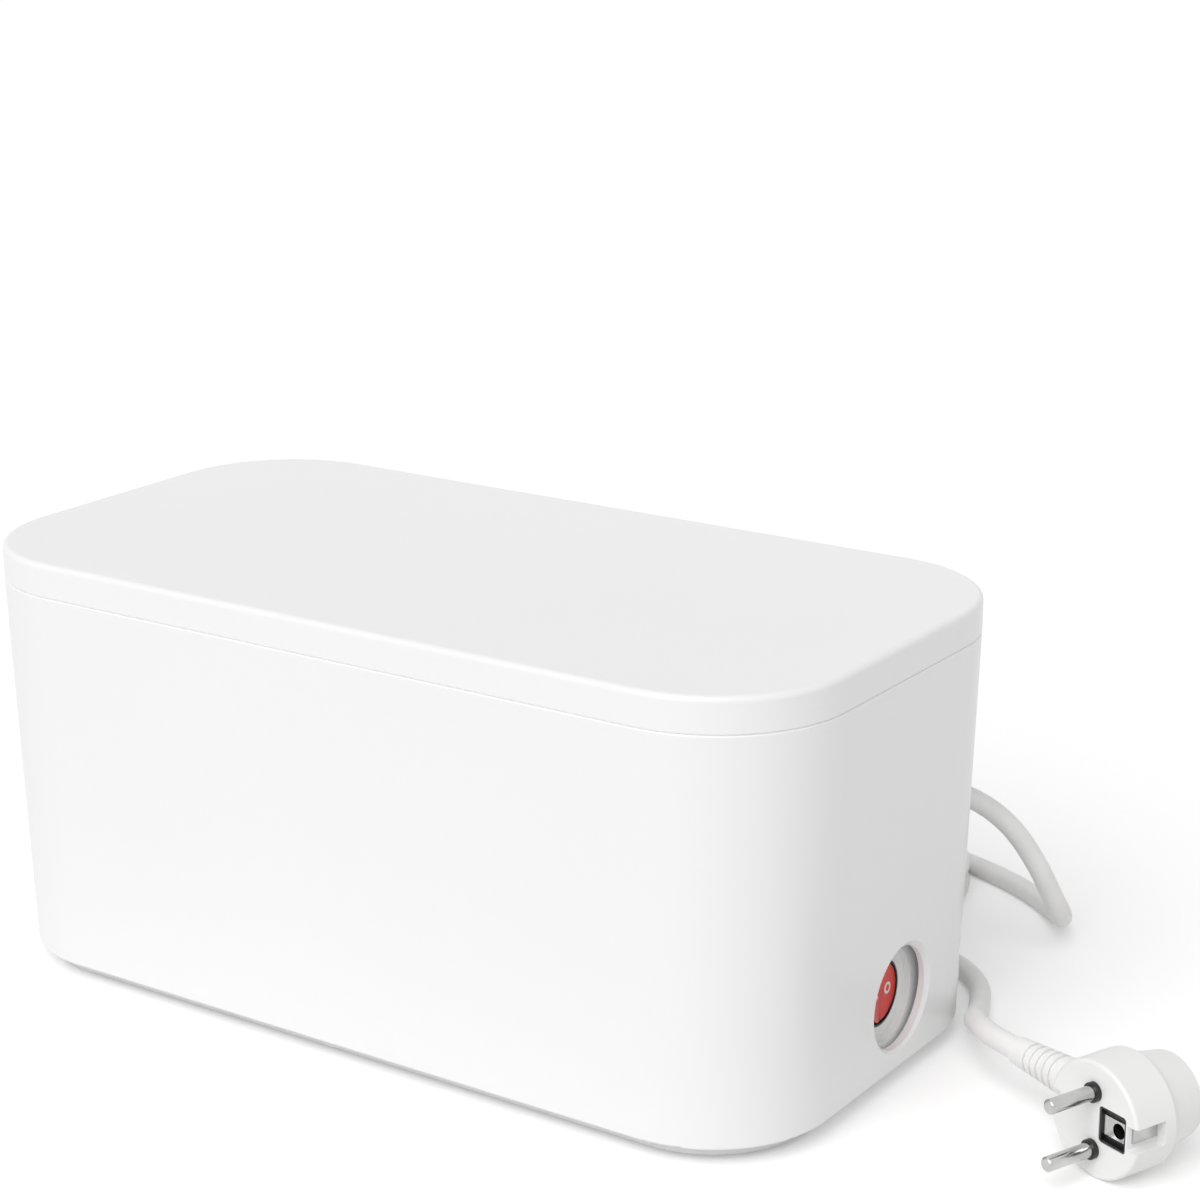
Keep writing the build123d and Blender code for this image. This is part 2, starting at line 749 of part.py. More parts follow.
# Cups of the wells under the cover's top, with guide ribs, pin holes and slots for the earth clips
with BuildPart() as socket_wells:
    with BuildSketch(Plane.XY.offset(well_cup_z)):
        with Locations(*wells):
            Circle(well_outer)
    extrude(amount=strip_under_z - well_cup_z)
    with BuildSketch(Plane.XY.offset(well_floor_z)):
        with Locations(*wells):
            Circle(well_radius)
    extrude(amount=strip_under_z - well_floor_z, mode=Mode.SUBTRACT)
    with BuildSketch(Plane.XY.offset(well_cup_z)):
        with Locations(*wells):
            with Locations((0, pin_offset), (0, -pin_offset)):
                Circle(pin_hole_radius)
            with GridLocations(clip_slot_outer + clip_slot_leg, 0, 2, 1):
                Rectangle(clip_slot_outer - clip_slot_leg, clip_slot_width)
    extrude(amount=well_wall, mode=Mode.SUBTRACT)
    with BuildSketch(Plane.XY.offset(well_floor_z)):
        with Locations(*wells):
            with GridLocations(clip_slot_outer + clip_slot_bulge, 0, 2, 1):
                Rectangle(clip_slot_outer - clip_slot_bulge, clip_slot_width)
    extrude(amount=strip_under_z - well_floor_z, mode=Mode.SUBTRACT)
    add(guide_ribs.part)
    # the ribs' tops stand free inside the cover's hole
    with BuildSketch(Plane.XY.offset(strip_under_z)):
        with Locations(*wells):
            Circle(well_outer)
            Circle(well_radius - rib_hole_gap, mode=Mode.SUBTRACT)
    extrude(amount=strip_wall, mode=Mode.SUBTRACT)

# Tube of the cable pass-through, from the cover's top to the underside
with BuildPart() as pass_tube:
    with BuildSketch(Plane.XY.offset(floor_z)):
        add(hex_plan.sketch)
        offset(amount=hex_wall)
        add(hex_plan.sketch, mode=Mode.SUBTRACT)
    extrude(amount=strip_under_z - floor_z)

# Screw bosses under the cover's top
with BuildPart() as cover_bosses:
    with BuildSketch(Plane.XY.offset(base_top_z)):
        with Locations(*strip_screw_places):
            Circle(strip_boss_radius)
    extrude(amount=strip_under_z - base_top_z)
    with BuildSketch(Plane.XY.offset(base_top_z)):
        with Locations(*strip_screw_places):
            Circle(strip_screw_radius)
    extrude(amount=strip_screw_length, mode=Mode.SUBTRACT)

# ---------------------------------------------------------------- strip base and its posts
clamp_top_z = entry_z + lead_radius - clamp_gap
carrier_posts = [(x, well_y + side * carrier_post_offset) for x in post_rows for side in (-1, 1)]
board_posts = [
    (x, y)
    for x in (board_x[0] + board_post_inset, board_x[1] - board_post_inset)
    for y in (board_y[0] + board_post_inset, board_y[1] - board_post_inset)
]
strip_head_z = base_top_z - strip_screw_web - strip_screw_head_height
with BuildPart() as strip_base:
    with BuildSketch(Plane.XY.offset(floor_z)):
        add(strip_plan.sketch)
        offset(amount=-strip_wall - strip_inset(base_top_z) - base_clearance)
    extrude(amount=base_thickness)
    with BuildSketch(Plane.XY.offset(floor_z)):
        add(hex_plan.sketch)
        offset(amount=hex_wall + base_clearance)
    extrude(amount=base_thickness, mode=Mode.SUBTRACT)
    # screw holes with recesses for the heads
    with BuildSketch(Plane.XY.offset(floor_z)):
        with Locations(*strip_screw_places):
            Circle(strip_screw_radius + base_clearance)
    extrude(amount=base_thickness, mode=Mode.SUBTRACT)
    with BuildSketch(Plane.XY.offset(floor_z)):
        with Locations(*strip_screw_places):
            Circle(strip_screw_head + base_clearance)
    extrude(amount=strip_head_z + strip_screw_head_height - floor_z, mode=Mode.SUBTRACT)

# Posts under the earth bar, the live and neutral bars, the contact carrier and the USB board
with BuildPart() as base_posts:
    with BuildSketch(Plane.XY.offset(base_top_z)):
        with Locations(*[(x, well_y) for x in well_x]):
            Circle(post_radius)
    extrude(amount=earth_bar_z - base_top_z)
    with BuildSketch(Plane.XY.offset(base_top_z)):
        with Locations(*[(x, y) for x in post_rows for y in (live_y, neutral_y)]):
            Circle(post_radius)
    extrude(amount=bar_z - base_top_z)
    with BuildSketch(Plane.XY.offset(base_top_z)):
        with Locations(*carrier_posts):
            Circle(post_radius)
    extrude(amount=carrier_z - base_top_z)
    with BuildSketch(Plane.XY.offset(base_top_z)):
        with Locations(*board_posts):
            Circle(board_post_radius)
    extrude(amount=board_z - base_top_z)
    # pillar of the cord clamp
    with BuildSketch(Plane.XY.offset(base_top_z)):
        with Locations((entry_x, clamp_y)):
            Rectangle(clamp_length, clamp_width)
    extrude(amount=clamp_top_z - base_top_z)
    with BuildSketch(Plane.XY.offset(entry_z - lead_radius)):
        with Locations((entry_x, clamp_y)):
            Rectangle(2 * (lead_radius + clamp_side_clearance), clamp_width)
    extrude(amount=clamp_top_z - entry_z + lead_radius, mode=Mode.SUBTRACT)
    with BuildSketch(Plane.XY.offset(clamp_top_z)):
        with Locations((entry_x, clamp_y)):
            with GridLocations(2 * clamp_screw_offset, 0, 2, 1):
                Circle(clamp_screw_radius)
    extrude(amount=-clamp_screw_length, mode=Mode.SUBTRACT)

with BuildPart() as strip_screws:
    with BuildSketch(Plane.XY.offset(strip_head_z)):
        with Locations(*strip_screw_places):
            Circle(strip_screw_head)
    extrude(amount=strip_screw_head_height)
    with BuildSketch(Plane.XY.offset(strip_head_z + strip_screw_head_height)):
        with Locations(*strip_screw_places):
            Circle(strip_screw_radius)
    extrude(amount=base_top_z + strip_screw_length - strip_head_z - strip_screw_head_height)

# ---------------------------------------------------------------- contacts
clip_outer = clip_leg_radius + clip_thickness / 2
arm_length = 2 * clip_outer
earth_bar_length = max(well_x) - min(well_x)
with BuildPart() as earth_bar:
    with BuildSketch(Plane.XY.offset(earth_bar_z)):
        with Locations(((max(well_x) + min(well_x)) / 2, well_y)):
            Rectangle(earth_bar_length, bar_width)
        with Locations(*wells):
            Rectangle(arm_length, earth_arm_width)
    extrude(amount=bar_thickness)

clip_foot_z = earth_bar_z + bar_thickness
half_clip = clip_thickness / 2
with BuildPart() as earth_clips:
    for x in well_x:
        for turn in (well_turn, well_turn + 180):
            radial = (cos(radians(turn)), sin(radians(turn)), 0)
            across = (sin(radians(turn)), -cos(radians(turn)), 0)
            with BuildSketch(Plane(origin=(x, well_y, 0), x_dir=radial, z_dir=across)):
                Polygon(
                    (clip_leg_radius - half_clip, clip_foot_z),
                    (clip_leg_radius + half_clip, clip_foot_z),
                    (clip_leg_radius + half_clip, strip_top_z - clip_shoulder_below),
                    (clip_bulge_radius + half_clip, strip_top_z - clip_bulge_below),
                    (clip_tip_radius + half_clip, strip_top_z - clip_tip_below),
                    (clip_tip_radius - half_clip, strip_top_z - clip_tip_below),
                    (clip_bulge_radius - half_clip, strip_top_z - clip_bulge_below),
                    (clip_leg_radius - half_clip, strip_top_z - clip_shoulder_below),
                    align=None,
                )
            extrude(amount=earth_arm_width / 2, both=True)

with BuildPart() as live_bar:
    with BuildSketch(Plane.XY.offset(bar_z)):
        with Locations((min(well_x) - pin_x_shift - bar_width / 2, live_y)):
            Rectangle(
                live_bar_end - min(well_x) + pin_x_shift + bar_width / 2, bar_width,
                align=(Align.MIN, Align.CENTER),
            )
    extrude(amount=bar_thickness)

with BuildPart() as neutral_bar:
    with BuildSketch(Plane.XY.offset(bar_z)):
        with Locations((min(well_x) + pin_x_shift - bar_width / 2, neutral_y)):
            Rectangle(
                neutral_bar_end - min(well_x) - pin_x_shift + bar_width / 2, bar_width,
                align=(Align.MIN, Align.CENTER),
            )
    extrude(amount=bar_thickness)

with BuildPart() as pin_contacts:
    with BuildSketch(Plane.XY.offset(tube_z)):
        with Locations(*wells):
            with Locations((0, pin_offset), (0, -pin_offset)):
                Circle(tube_radius)
                Circle(tube_bore_radius, mode=Mode.SUBTRACT)
    extrude(amount=carrier_z - tube_z)

with BuildPart() as contact_carrier:
    with BuildSketch(Plane.XY.offset(carrier_z)):
        with Locations(((max(well_x) + min(well_x)) / 2, well_y)):
            Rectangle(earth_bar_length + 2 * (well_radius + carrier_margin), 2 * well_radius)
        with Locations(*wells):
            with Locations((0, pin_offset), (0, -pin_offset)):
                Circle(pin_hole_radius, mode=Mode.SUBTRACT)
            with GridLocations(2 * clip_leg_radius, 0, 2, 1):
                Rectangle(
                    clip_thickness + 2 * clip_slot_clearance, clip_slot_width, mode=Mode.SUBTRACT
                )
    extrude(amount=carrier_thickness)
    with BuildSketch(Plane.XY.offset(carrier_top_z)):
        with Locations(*wells):
            Circle(spring_pocket_outer)
            Circle(spring_pocket_inner, mode=Mode.SUBTRACT)
    extrude(amount=-spring_pocket_depth, mode=Mode.SUBTRACT)
    with BuildSketch(Plane.XY.offset(carrier_top_z)):
        with Locations(*wells):
            Circle(shutter_pin_radius)
    extrude(amount=well_cup_z - carrier_top_z)

spring_z = carrier_top_z - spring_pocket_depth + spring_wire_radius
with BuildPart() as shutter_springs:
    for x in well_x:
        with BuildSketch(Plane(origin=(x, well_y, spring_z), x_dir=(1, 0, 0), z_dir=(0, -1, 0))):
            with Locations((spring_radius, 0)):
                Circle(spring_wire_radius)
        revolve(axis=Axis((x, well_y, spring_z), (0, 0, 1)))

shutters = []
for x in well_x:
    with BuildPart() as shutter:
        with BuildSketch(Plane.XY.offset(shutter_z)):
            with Locations(Location((x, well_y, 0), (0, 0, well_turn + shutter_turn))):
                Circle(shutter_radius)
                Circle(shutter_pin_radius + shutter_pin_clearance, mode=Mode.SUBTRACT)
                with Locations((0, pin_offset), (0, -pin_offset)):
                    Circle(shutter_hole_radius, mode=Mode.SUBTRACT)
        extrude(amount=shutter_thickness)
    shutters.append(shutter)

# ---------------------------------------------------------------- USB charger
usb_top_z = strip_top_z - usb_below_top
board_middle = ((board_x[0] + board_x[1]) / 2, (board_y[0] + board_y[1]) / 2)
with BuildPart() as usb_board:
    with BuildSketch(Plane.XY.offset(board_z)):
        with Locations(board_middle):
            RectangleRounded(board_x[1] - board_x[0], board_y[1] - board_y[0], board_corner)
    extrude(amount=board_thickness)

with BuildPart() as usb_a_shells:
    with BuildSketch(Plane.XY.offset(board_top_z)):
        with Locations(*[(usb_x, y) for y in usb_a_y]):
            Rectangle(usb_a_width, usb_a_height)
    extrude(amount=usb_top_z - board_top_z)
    with BuildSketch(Plane.XY.offset(board_top_z + usb_shell_wall)):
        with Locations(*[(usb_x, y) for y in usb_a_y]):
            Rectangle(usb_a_width - 2 * usb_shell_wall, usb_a_height - 2 * usb_shell_wall)
    extrude(amount=usb_top_z - board_top_z - usb_shell_wall, mode=Mode.SUBTRACT)

tongue_shift = usb_a_height / 4 - usb_shell_wall / 2
with BuildPart() as usb_a_tongues:
    with BuildSketch(Plane.XY.offset(board_top_z + usb_shell_wall)):
        with Locations(*[(usb_x, y) for y in usb_a_y]):
            Rectangle(usb_a_width - 2 * usb_shell_wall, usb_a_height - 2 * usb_shell_wall)
    extrude(amount=usb_tongue_root)
    with BuildSketch(Plane.XY.offset(board_top_z + usb_shell_wall)):
        with Locations(*[(usb_x, y + tongue_shift) for y in usb_a_y]):
            Rectangle(usb_tongue_width, usb_tongue_thickness)
    extrude(amount=usb_top_z - usb_tongue_below - board_top_z - usb_shell_wall)

with BuildPart() as usb_c_shell:
    with BuildSketch(Plane.XY.offset(board_top_z)):
        with Locations((usb_x, usb_c_y)):
            SlotOverall(usb_c_width, usb_c_height)
    extrude(amount=usb_top_z - board_top_z)
    with BuildSketch(Plane.XY.offset(board_top_z + usb_shell_wall)):
        with Locations((usb_x, usb_c_y)):
            SlotOverall(usb_c_width - 2 * usb_shell_wall, usb_c_height - 2 * usb_shell_wall)
    extrude(amount=usb_top_z - board_top_z - usb_shell_wall, mode=Mode.SUBTRACT)
    with BuildSketch(Plane.XY.offset(board_top_z)):
        with Locations((usb_x, usb_c_y)):
            Rectangle(usb_c_tongue_width, usb_c_tongue_thickness)
    extrude(amount=usb_top_z - usb_tongue_below - board_top_z)

with BuildPart() as usb_transformer:
    with BuildSketch(Plane.XY.offset(board_z)):
        with Locations((usb_x, transformer_y)):
            Rectangle(transformer_length, transformer_depth)
    extrude(amount=-transformer_height)
    fillet(usb_transformer.edges().filter_by(Axis.Z), transformer_round)

with BuildPart() as usb_capacitors:
    with BuildSketch(Plane.XY.offset(board_z)):
        with Locations(*[(usb_x, y) for y in capacitor_y]):
            Circle(capacitor_radius)
    extrude(amount=-capacitor_length)
    fillet(usb_capacitors.edges().group_by(Axis.Z)[0], capacitor_round)

# ---------------------------------------------------------------- switch
pivot_x = panel_inner_x - pivot_behind_panel
switch_back_x = panel_inner_x - switch_body_length
with BuildPart() as switch_body:
    with BuildSketch(Plane.YZ.offset(switch_back_x)):
        with Locations((port_y, port_z)):
            Circle(switch_body_radius)
    extrude(amount=switch_body_length)
    with BuildSketch(Plane.YZ.offset(panel_inner_x)):
        with Locations((port_y, port_z)):
            Circle(neck_radius)
    extrude(amount=panel_thickness + neck_proud)
    with BuildSketch(Plane.YZ.offset(pivot_x - aperture_depth)):
        with Locations((port_y, port_z)):
            Circle(aperture_radius)
    extrude(amount=aperture_depth + pivot_behind_panel + panel_thickness + neck_proud, mode=Mode.SUBTRACT)
    with BuildSketch(Plane.XY.offset(port_z)):
        with Locations((pivot_x, port_y)):
            Circle(axle_radius + axle_clearance)
    extrude(amount=axle_reach + axle_end_clearance, both=True, mode=Mode.SUBTRACT)

rocker_x_dir = (cos(radians(rocker_tilt)), sin(radians(rocker_tilt)), 0)
rocker_y_dir = (-sin(radians(rocker_tilt)), cos(radians(rocker_tilt)), 0)
rocker_pivot = Vector(pivot_x, port_y, port_z)
rocker_back_point = rocker_pivot - rocker_back * Vector(*rocker_x_dir)
rocker_rise = rocker_radius * tan(radians(rocker_slope))
with BuildPart() as switch_rocker:
    with BuildSketch(Plane(origin=rocker_back_point, x_dir=rocker_y_dir, z_dir=rocker_x_dir)):
        Circle(rocker_radius)
    extrude(amount=rocker_back + rocker_crown + rocker_rise)
    with BuildSketch(Plane(origin=rocker_pivot, x_dir=rocker_x_dir, z_dir=(0, 0, 1))):
        Polygon(
            (rocker_crown, 0),
            (rocker_crown + 2 * rocker_rise, 2 * rocker_radius),
            (rocker_crown + 4 * rocker_rise, 2 * rocker_radius),
            (rocker_crown + 4 * rocker_rise, -2 * rocker_radius),
            (rocker_crown + 2 * rocker_rise, -2 * rocker_radius),
            align=None,
        )
    extrude(amount=2 * rocker_radius, both=True, mode=Mode.SUBTRACT)
    with BuildSketch(Plane.XY.offset(port_z)):
        with Locations((pivot_x, port_y)):
            Circle(axle_radius)
    extrude(amount=axle_reach, both=True)

with BuildPart() as switch_terminals:
    with BuildSketch(Plane.YZ.offset(switch_back_x)):
        with Locations((port_y, port_z - tab_spacing), (port_y, port_z), (port_y, port_z + tab_spacing)):
            Rectangle(tab_width, tab_thickness)
    extrude(amount=-tab_length)

# ---------------------------------------------------------------- lead entry, clamp and inner wires
boot_dir = Vector(sin(radians(boot_angle)), cos(radians(boot_angle)), 0)
boot_wall_y = middle_rear_y - strip_inset(entry_z - boot_root_radius) + boot_seat_gap
boot_joint = Vector(entry_x, boot_wall_y + boot_neck_length, entry_z)
boot_taper = degrees(atan((boot_root_radius - boot_tip_radius) / boot_length))
collar_y = entry_wall_y - strip_wall - boot_seat_gap
with BuildPart() as lead_bushing:
    with BuildSketch(Plane.XZ.offset(-collar_y)):
        with Locations((entry_x, entry_z)):
            Circle(boot_collar_radius)
    extrude(amount=boot_collar_thickness)
    with BuildSketch(Plane.XZ.offset(-collar_y)):
        with Locations((entry_x, entry_z)):
            Circle(boot_neck_radius)
    extrude(amount=-(boot_wall_y - collar_y))
    with BuildSketch(Plane.XZ.offset(-boot_wall_y)):
        with Locations((entry_x, entry_z)):
            Circle(boot_root_radius)
    extrude(amount=-boot_neck_length)
    with Locations(boot_joint):
        Sphere(boot_root_radius)
    with BuildSketch(Plane(origin=boot_joint, x_dir=(0, 0, 1), z_dir=boot_dir)):
        Circle(boot_root_radius)
    extrude(amount=boot_length, taper=boot_taper)
    for groove in range(boot_groove_count):
        reach = boot_first_groove + boot_groove_pitch * groove
        depth_radius = boot_root_radius - reach * tan(radians(boot_taper)) - boot_groove_depth
        with BuildSketch(Plane(origin=boot_joint + boot_dir * reach, x_dir=(0, 0, 1), z_dir=boot_dir)):
            Circle(2 * boot_root_radius)
            Circle(depth_radius, mode=Mode.SUBTRACT)
        extrude(amount=boot_groove_width, mode=Mode.SUBTRACT)

inner_end_y = collar_y - boot_collar_thickness
with BuildPart() as lead_inner_end:
    with BuildSketch(Plane.XZ.offset(-inner_end_y)):
        with Locations((entry_x, entry_z)):
            Circle(lead_radius)
    extrude(amount=inner_end_length)

with BuildPart() as cord_clamp:
    with BuildSketch(Plane.XY.offset(entry_z + lead_radius)):
        with Locations((entry_x, clamp_y)):
            Rectangle(clamp_length, clamp_width)
            with GridLocations(2 * clamp_screw_offset, 0, 2, 1):
                Circle(clamp_screw_radius, mode=Mode.SUBTRACT)
    extrude(amount=clamp_bar_height)

clamp_bar_top_z = entry_z + lead_radius + clamp_bar_height
with BuildPart() as clamp_screws:
    with BuildSketch(Plane.XY.offset(clamp_bar_top_z)):
        with Locations((entry_x, clamp_y)):
            with GridLocations(2 * clamp_screw_offset, 0, 2, 1):
                Circle(clamp_screw_head)
    extrude(amount=clamp_screw_head_height)
    with BuildSketch(Plane.XY.offset(clamp_bar_top_z)):
        with Locations((entry_x, clamp_y)):
            with GridLocations(2 * clamp_screw_offset, 0, 2, 1):
                Circle(clamp_screw_radius)
    extrude(amount=-clamp_screw_length)

wire_start_y = inner_end_y - inner_end_length - wire_gap
wire_turn_y = wire_start_y - wire_lead_out
tab_wire_x = switch_back_x - tab_length / 2
live_tab_z = port_z + tab_spacing + tab_thickness / 2 + core_radius + wire_gap
return_tab_z = port_z - tab_spacing - tab_thickness / 2 - core_radius - wire_gap
bar_wire_z = tube_z + core_radius + wire_gap
earth_wire_z = earth_bar_z + bar_thickness + core_radius + wire_gap
side_core = core_offset * cos(radians(30))
upper_core_z = entry_z + core_offset / 2
lower_core_z = entry_z - core_offset
under_bar_z = bar_z - core_radius - wire_gap
neutral_x = post_rows[-1] - wire_beside_post
earth_x = post_rows[-1] + earth_wire_beside_post
drop_y = well_y + well_radius + wire_behind_carrier
drop_z = carrier_z - wire_under_carrier
level_y = well_y + carrier_post_offset
live_start_x = entry_x + side_core
neutral_start_x = entry_x - side_core
wire_routes = {
    "live_wire": (
        (
            (live_start_x, wire_start_y, upper_core_z),
            (live_start_x, wire_turn_y, upper_core_z),
            (entry_x + live_wire_reach, wire_turn_y + live_wire_back, entry_z + live_wire_rise),
            (tab_wire_x - tab_approach, port_y, live_tab_z),
            (tab_wire_x, port_y, live_tab_z),
        ),
        (
            (tab_wire_x, port_y, return_tab_z),
            (tab_wire_x - tab_approach, port_y, return_tab_z),
            (live_bar_end, well_y + well_outer + return_wire_behind_wells, bar_wire_z),
            (live_bar_end - bar_width / 3, live_y, bar_wire_z),
        ),
    ),
    "neutral_wire": (
        (
            (neutral_start_x, wire_start_y, upper_core_z),
            (neutral_start_x, wire_turn_y, upper_core_z),
            (neutral_x, drop_y, drop_z),
            (neutral_x, level_y, under_bar_z),
            (neutral_x, neutral_y, under_bar_z),
        ),
    ),
    "earth_wire": (
        (
            (entry_x, wire_start_y, lower_core_z),
            (entry_x, wire_turn_y, lower_core_z),
            (earth_x, drop_y, drop_z),
            (earth_x, level_y, earth_wire_z),
            (earth_x, well_y, earth_wire_z),
        ),
    ),
}
wires = {}
for wire_name, routes in wire_routes.items():
    with BuildPart() as wire:
        for route in routes:
            with BuildLine() as wire_path:
                FilletPolyline(*route, radius=wire_bend)
            with BuildSketch(Plane(origin=wire_path.line @ 0, z_dir=wire_path.line % 0)):
                Circle(core_radius)
            sweep(path=wire_path.line)
    wires[wire_name] = wire

# ---------------------------------------------------------------- free lead, coil and tie
leads = {}
for lead_name, route in (("mains_lead", lead_route), ("mains_lead_tail", tail_route)):
    radii = bend_radii(route)
    with BuildPart() as lead:
        with BuildLine() as lead_path:
            FilletPolyline(*route, radius=radii)
        with BuildSketch(Plane(origin=lead_path.line @ 0, z_dir=lead_path.line % 0)):
            Circle(lead_radius)
        sweep(path=lead_path.line)
    leads[lead_name] = lead
    lead_length = lead_path.wires()[0].length
    tube_volume = pi * lead_radius**2 * lead_length
    print(lead_name, "length %.1f" % lead_length, "volume ratio %.5f" % (lead.part.volume / tube_volume))
    print("  radii", ["%.0f" % radius for radius in radii])

with BuildPart() as lead_coil:
    with BuildSketch(Plane.XY.offset(coil_base)):
        with Locations((coil_x, coil_y)):
            Circle(coil_outer_radius)
            Circle(coil_inner_radius, mode=Mode.SUBTRACT)
    extrude(amount=coil_height)
    fillet(lead_coil.edges(), lead_radius)

# hook-and-loop tie round the coil on its left side
tie_x = coil_x - (coil_outer_radius + coil_inner_radius) / 2
tie_opening = coil_outer_radius - coil_inner_radius + 2 * tie_clearance + tie_slack
with BuildPart() as coil_tie:
    with BuildSketch(Plane.XZ.offset(-coil_y - tie_width / 2)):
        with Locations((tie_x, 0)):
            Rectangle(
                tie_opening + 2 * tie_thickness, coil_base + coil_height + tie_clearance + tie_thickness,
                align=(Align.CENTER, Align.MIN),
            )
        with Locations((tie_x, coil_base)):
            Rectangle(
                tie_opening, coil_height + tie_clearance,
                align=(Align.CENTER, Align.MIN), mode=Mode.SUBTRACT,
            )
    extrude(amount=tie_width)

# ---------------------------------------------------------------- plug, lying on its rim
heading = radians(plug_heading)
exit_dir = Vector(-cos(heading), -sin(heading), 0)
pins_dir = Vector(sin(heading), -cos(heading), 0)
outlet_reach = plug_radius + plug_outlet_length
tail_end = Vector(tail_route[-1][0], tail_route[-1][1], plug_radius)
plug_face = tail_end + pins_dir * plug_outlet_back - exit_dir * (outlet_reach + plug_boot_length)


def plug_plane(depth):
    """Plane across the plug, depth behind its face; local x points to the lead's outlet."""
    return Plane(origin=plug_face - pins_dir * depth, x_dir=exit_dir, z_dir=pins_dir)


plug_insert_centre = plug_radius - plug_slot_depth - plug_insert_web - plug_insert_length / 2
outlet_plane = Plane(origin=plug_face - pins_dir * plug_outlet_back, x_dir=pins_dir, z_dir=exit_dir)
with BuildPart() as plug_body:
    with BuildSketch(plug_plane(0)):
        Circle(plug_radius)
    extrude(amount=-plug_face_thickness)
    fillet(plug_body.edges().filter_by(GeomType.CIRCLE), plug_edge_radius)
    with BuildSketch(plug_plane(plug_face_thickness - 2 * plug_edge_radius)):
        Circle(plug_back_radius)
    extrude(amount=-(plug_back_length + 2 * plug_edge_radius), taper=plug_back_taper)
    with BuildSketch(outlet_plane):
        Circle(plug_outlet_radius)
    extrude(amount=outlet_reach)
    # slots for the side earth clips, and the pin seats
    with BuildSketch(plug_plane(0)):
        with GridLocations(2 * plug_radius - plug_slot_depth, 0, 2, 1):
            Rectangle(plug_slot_depth, plug_slot_width)
    extrude(amount=-plug_slot_length, mode=Mode.SUBTRACT)
    with BuildSketch(plug_plane(0)):
        with Locations((0, pin_offset), (0, -pin_offset)):
            Circle(plug_pin_core)
    extrude(amount=-plug_pin_root, mode=Mode.SUBTRACT)

    # pocket for the insert with the earth hole, on the side away from the lead
    with BuildSketch(plug_plane(0)):
        with Locations((-plug_insert_centre, 0)):
            RectangleRounded(plug_insert_length, plug_insert_width, plug_insert_corner)
    extrude(amount=-plug_insert_depth, mode=Mode.SUBTRACT)

# Insert with the hole for an earth pin, and the plate that touches the pin
plug_insert_floor = plug_insert_below_face + plug_insert_pocket
with BuildPart() as plug_earth_insert:
    with BuildSketch(plug_plane(plug_insert_below_face)):
        with Locations((-plug_insert_centre, 0)):
            RectangleRounded(
                plug_insert_length - 2 * plug_insert_clearance,
                plug_insert_width - 2 * plug_insert_clearance,
                plug_insert_corner - plug_insert_clearance,
            )
    extrude(amount=plug_insert_below_face - plug_insert_depth)
    with BuildSketch(plug_plane(plug_insert_below_face)):
        with Locations((-plug_insert_centre, 0)):
            Rectangle(plug_insert_length - 2 * plug_insert_rim, plug_insert_width - 2 * plug_insert_rim)
    extrude(amount=-plug_insert_pocket, mode=Mode.SUBTRACT)
    with BuildSketch(plug_plane(plug_insert_floor)):
        with Locations((-plug_earth_hole_offset, 0)):
            Circle(plug_pin_radius + plug_earth_hole_clearance)
    extrude(amount=plug_insert_floor - plug_earth_hole_depth, mode=Mode.SUBTRACT)

with BuildPart() as plug_earth_plate:
    with BuildSketch(plug_plane(plug_insert_floor)):
        with Locations((-plug_insert_centre, 0)):
            Rectangle(plug_insert_length - 2 * plug_insert_rim, plug_earth_plate_width)
        with Locations((-plug_earth_hole_offset, 0)):
            Circle(plug_pin_radius + plug_earth_hole_clearance, mode=Mode.SUBTRACT)
    extrude(amount=plug_earth_plate_thickness)

# The pins are thinner where the collar and the body hold them
with BuildPart() as plug_pins:
    with BuildSketch(plug_plane(plug_pin_root)):
        with Locations((0, pin_offset), (0, -pin_offset)):
            Circle(plug_pin_core)
    extrude(amount=plug_pin_root + plug_collar_length)
    with BuildSketch(plug_plane(-plug_collar_length)):
        with Locations((0, pin_offset), (0, -pin_offset)):
            Circle(plug_pin_radius)
    extrude(amount=plug_pin_length - plug_collar_length)
    fillet(plug_pins.faces().sort_by(Axis(plug_face, pins_dir))[-2:].edges(), plug_pin_tip)

with BuildPart() as plug_pin_collars:
    with BuildSketch(plug_plane(0)):
        with Locations((0, pin_offset), (0, -pin_offset)):
            Circle(plug_collar_radius)
            Circle(plug_pin_core, mode=Mode.SUBTRACT)
    extrude(amount=plug_collar_length)

clip_seat = plug_radius - plug_slot_depth + plug_clip_thickness / 2
with BuildPart() as plug_earth_clips:
    with BuildSketch(plug_plane(plug_slot_length)):
        with GridLocations(2 * clip_seat, 0, 2, 1):
            Rectangle(plug_clip_thickness, plug_clip_width)
    extrude(amount=plug_clip_length)

boot_start = plug_face - pins_dir * plug_outlet_back + exit_dir * outlet_reach
plug_boot_taper = degrees(atan((plug_boot_root_radius - boot_tip_radius) / plug_boot_length))
with BuildPart() as plug_boot:
    with BuildSketch(Plane(origin=boot_start, x_dir=pins_dir, z_dir=exit_dir)):
        Circle(plug_boot_root_radius)
    extrude(amount=plug_boot_length, taper=plug_boot_taper)
    for groove in range(plug_boot_groove_count):
        reach = plug_boot_first_groove + boot_groove_pitch * groove
        depth_radius = plug_boot_root_radius - reach * tan(radians(plug_boot_taper)) - boot_groove_depth
        groove_origin = boot_start + exit_dir * reach
        with BuildSketch(Plane(origin=groove_origin, x_dir=pins_dir, z_dir=exit_dir)):
            Circle(2 * plug_boot_root_radius)
            Circle(depth_radius, mode=Mode.SUBTRACT)
        extrude(amount=boot_groove_width, mode=Mode.SUBTRACT)
print("lead leaves the strip's boot at", boot_joint + boot_dir * boot_length)

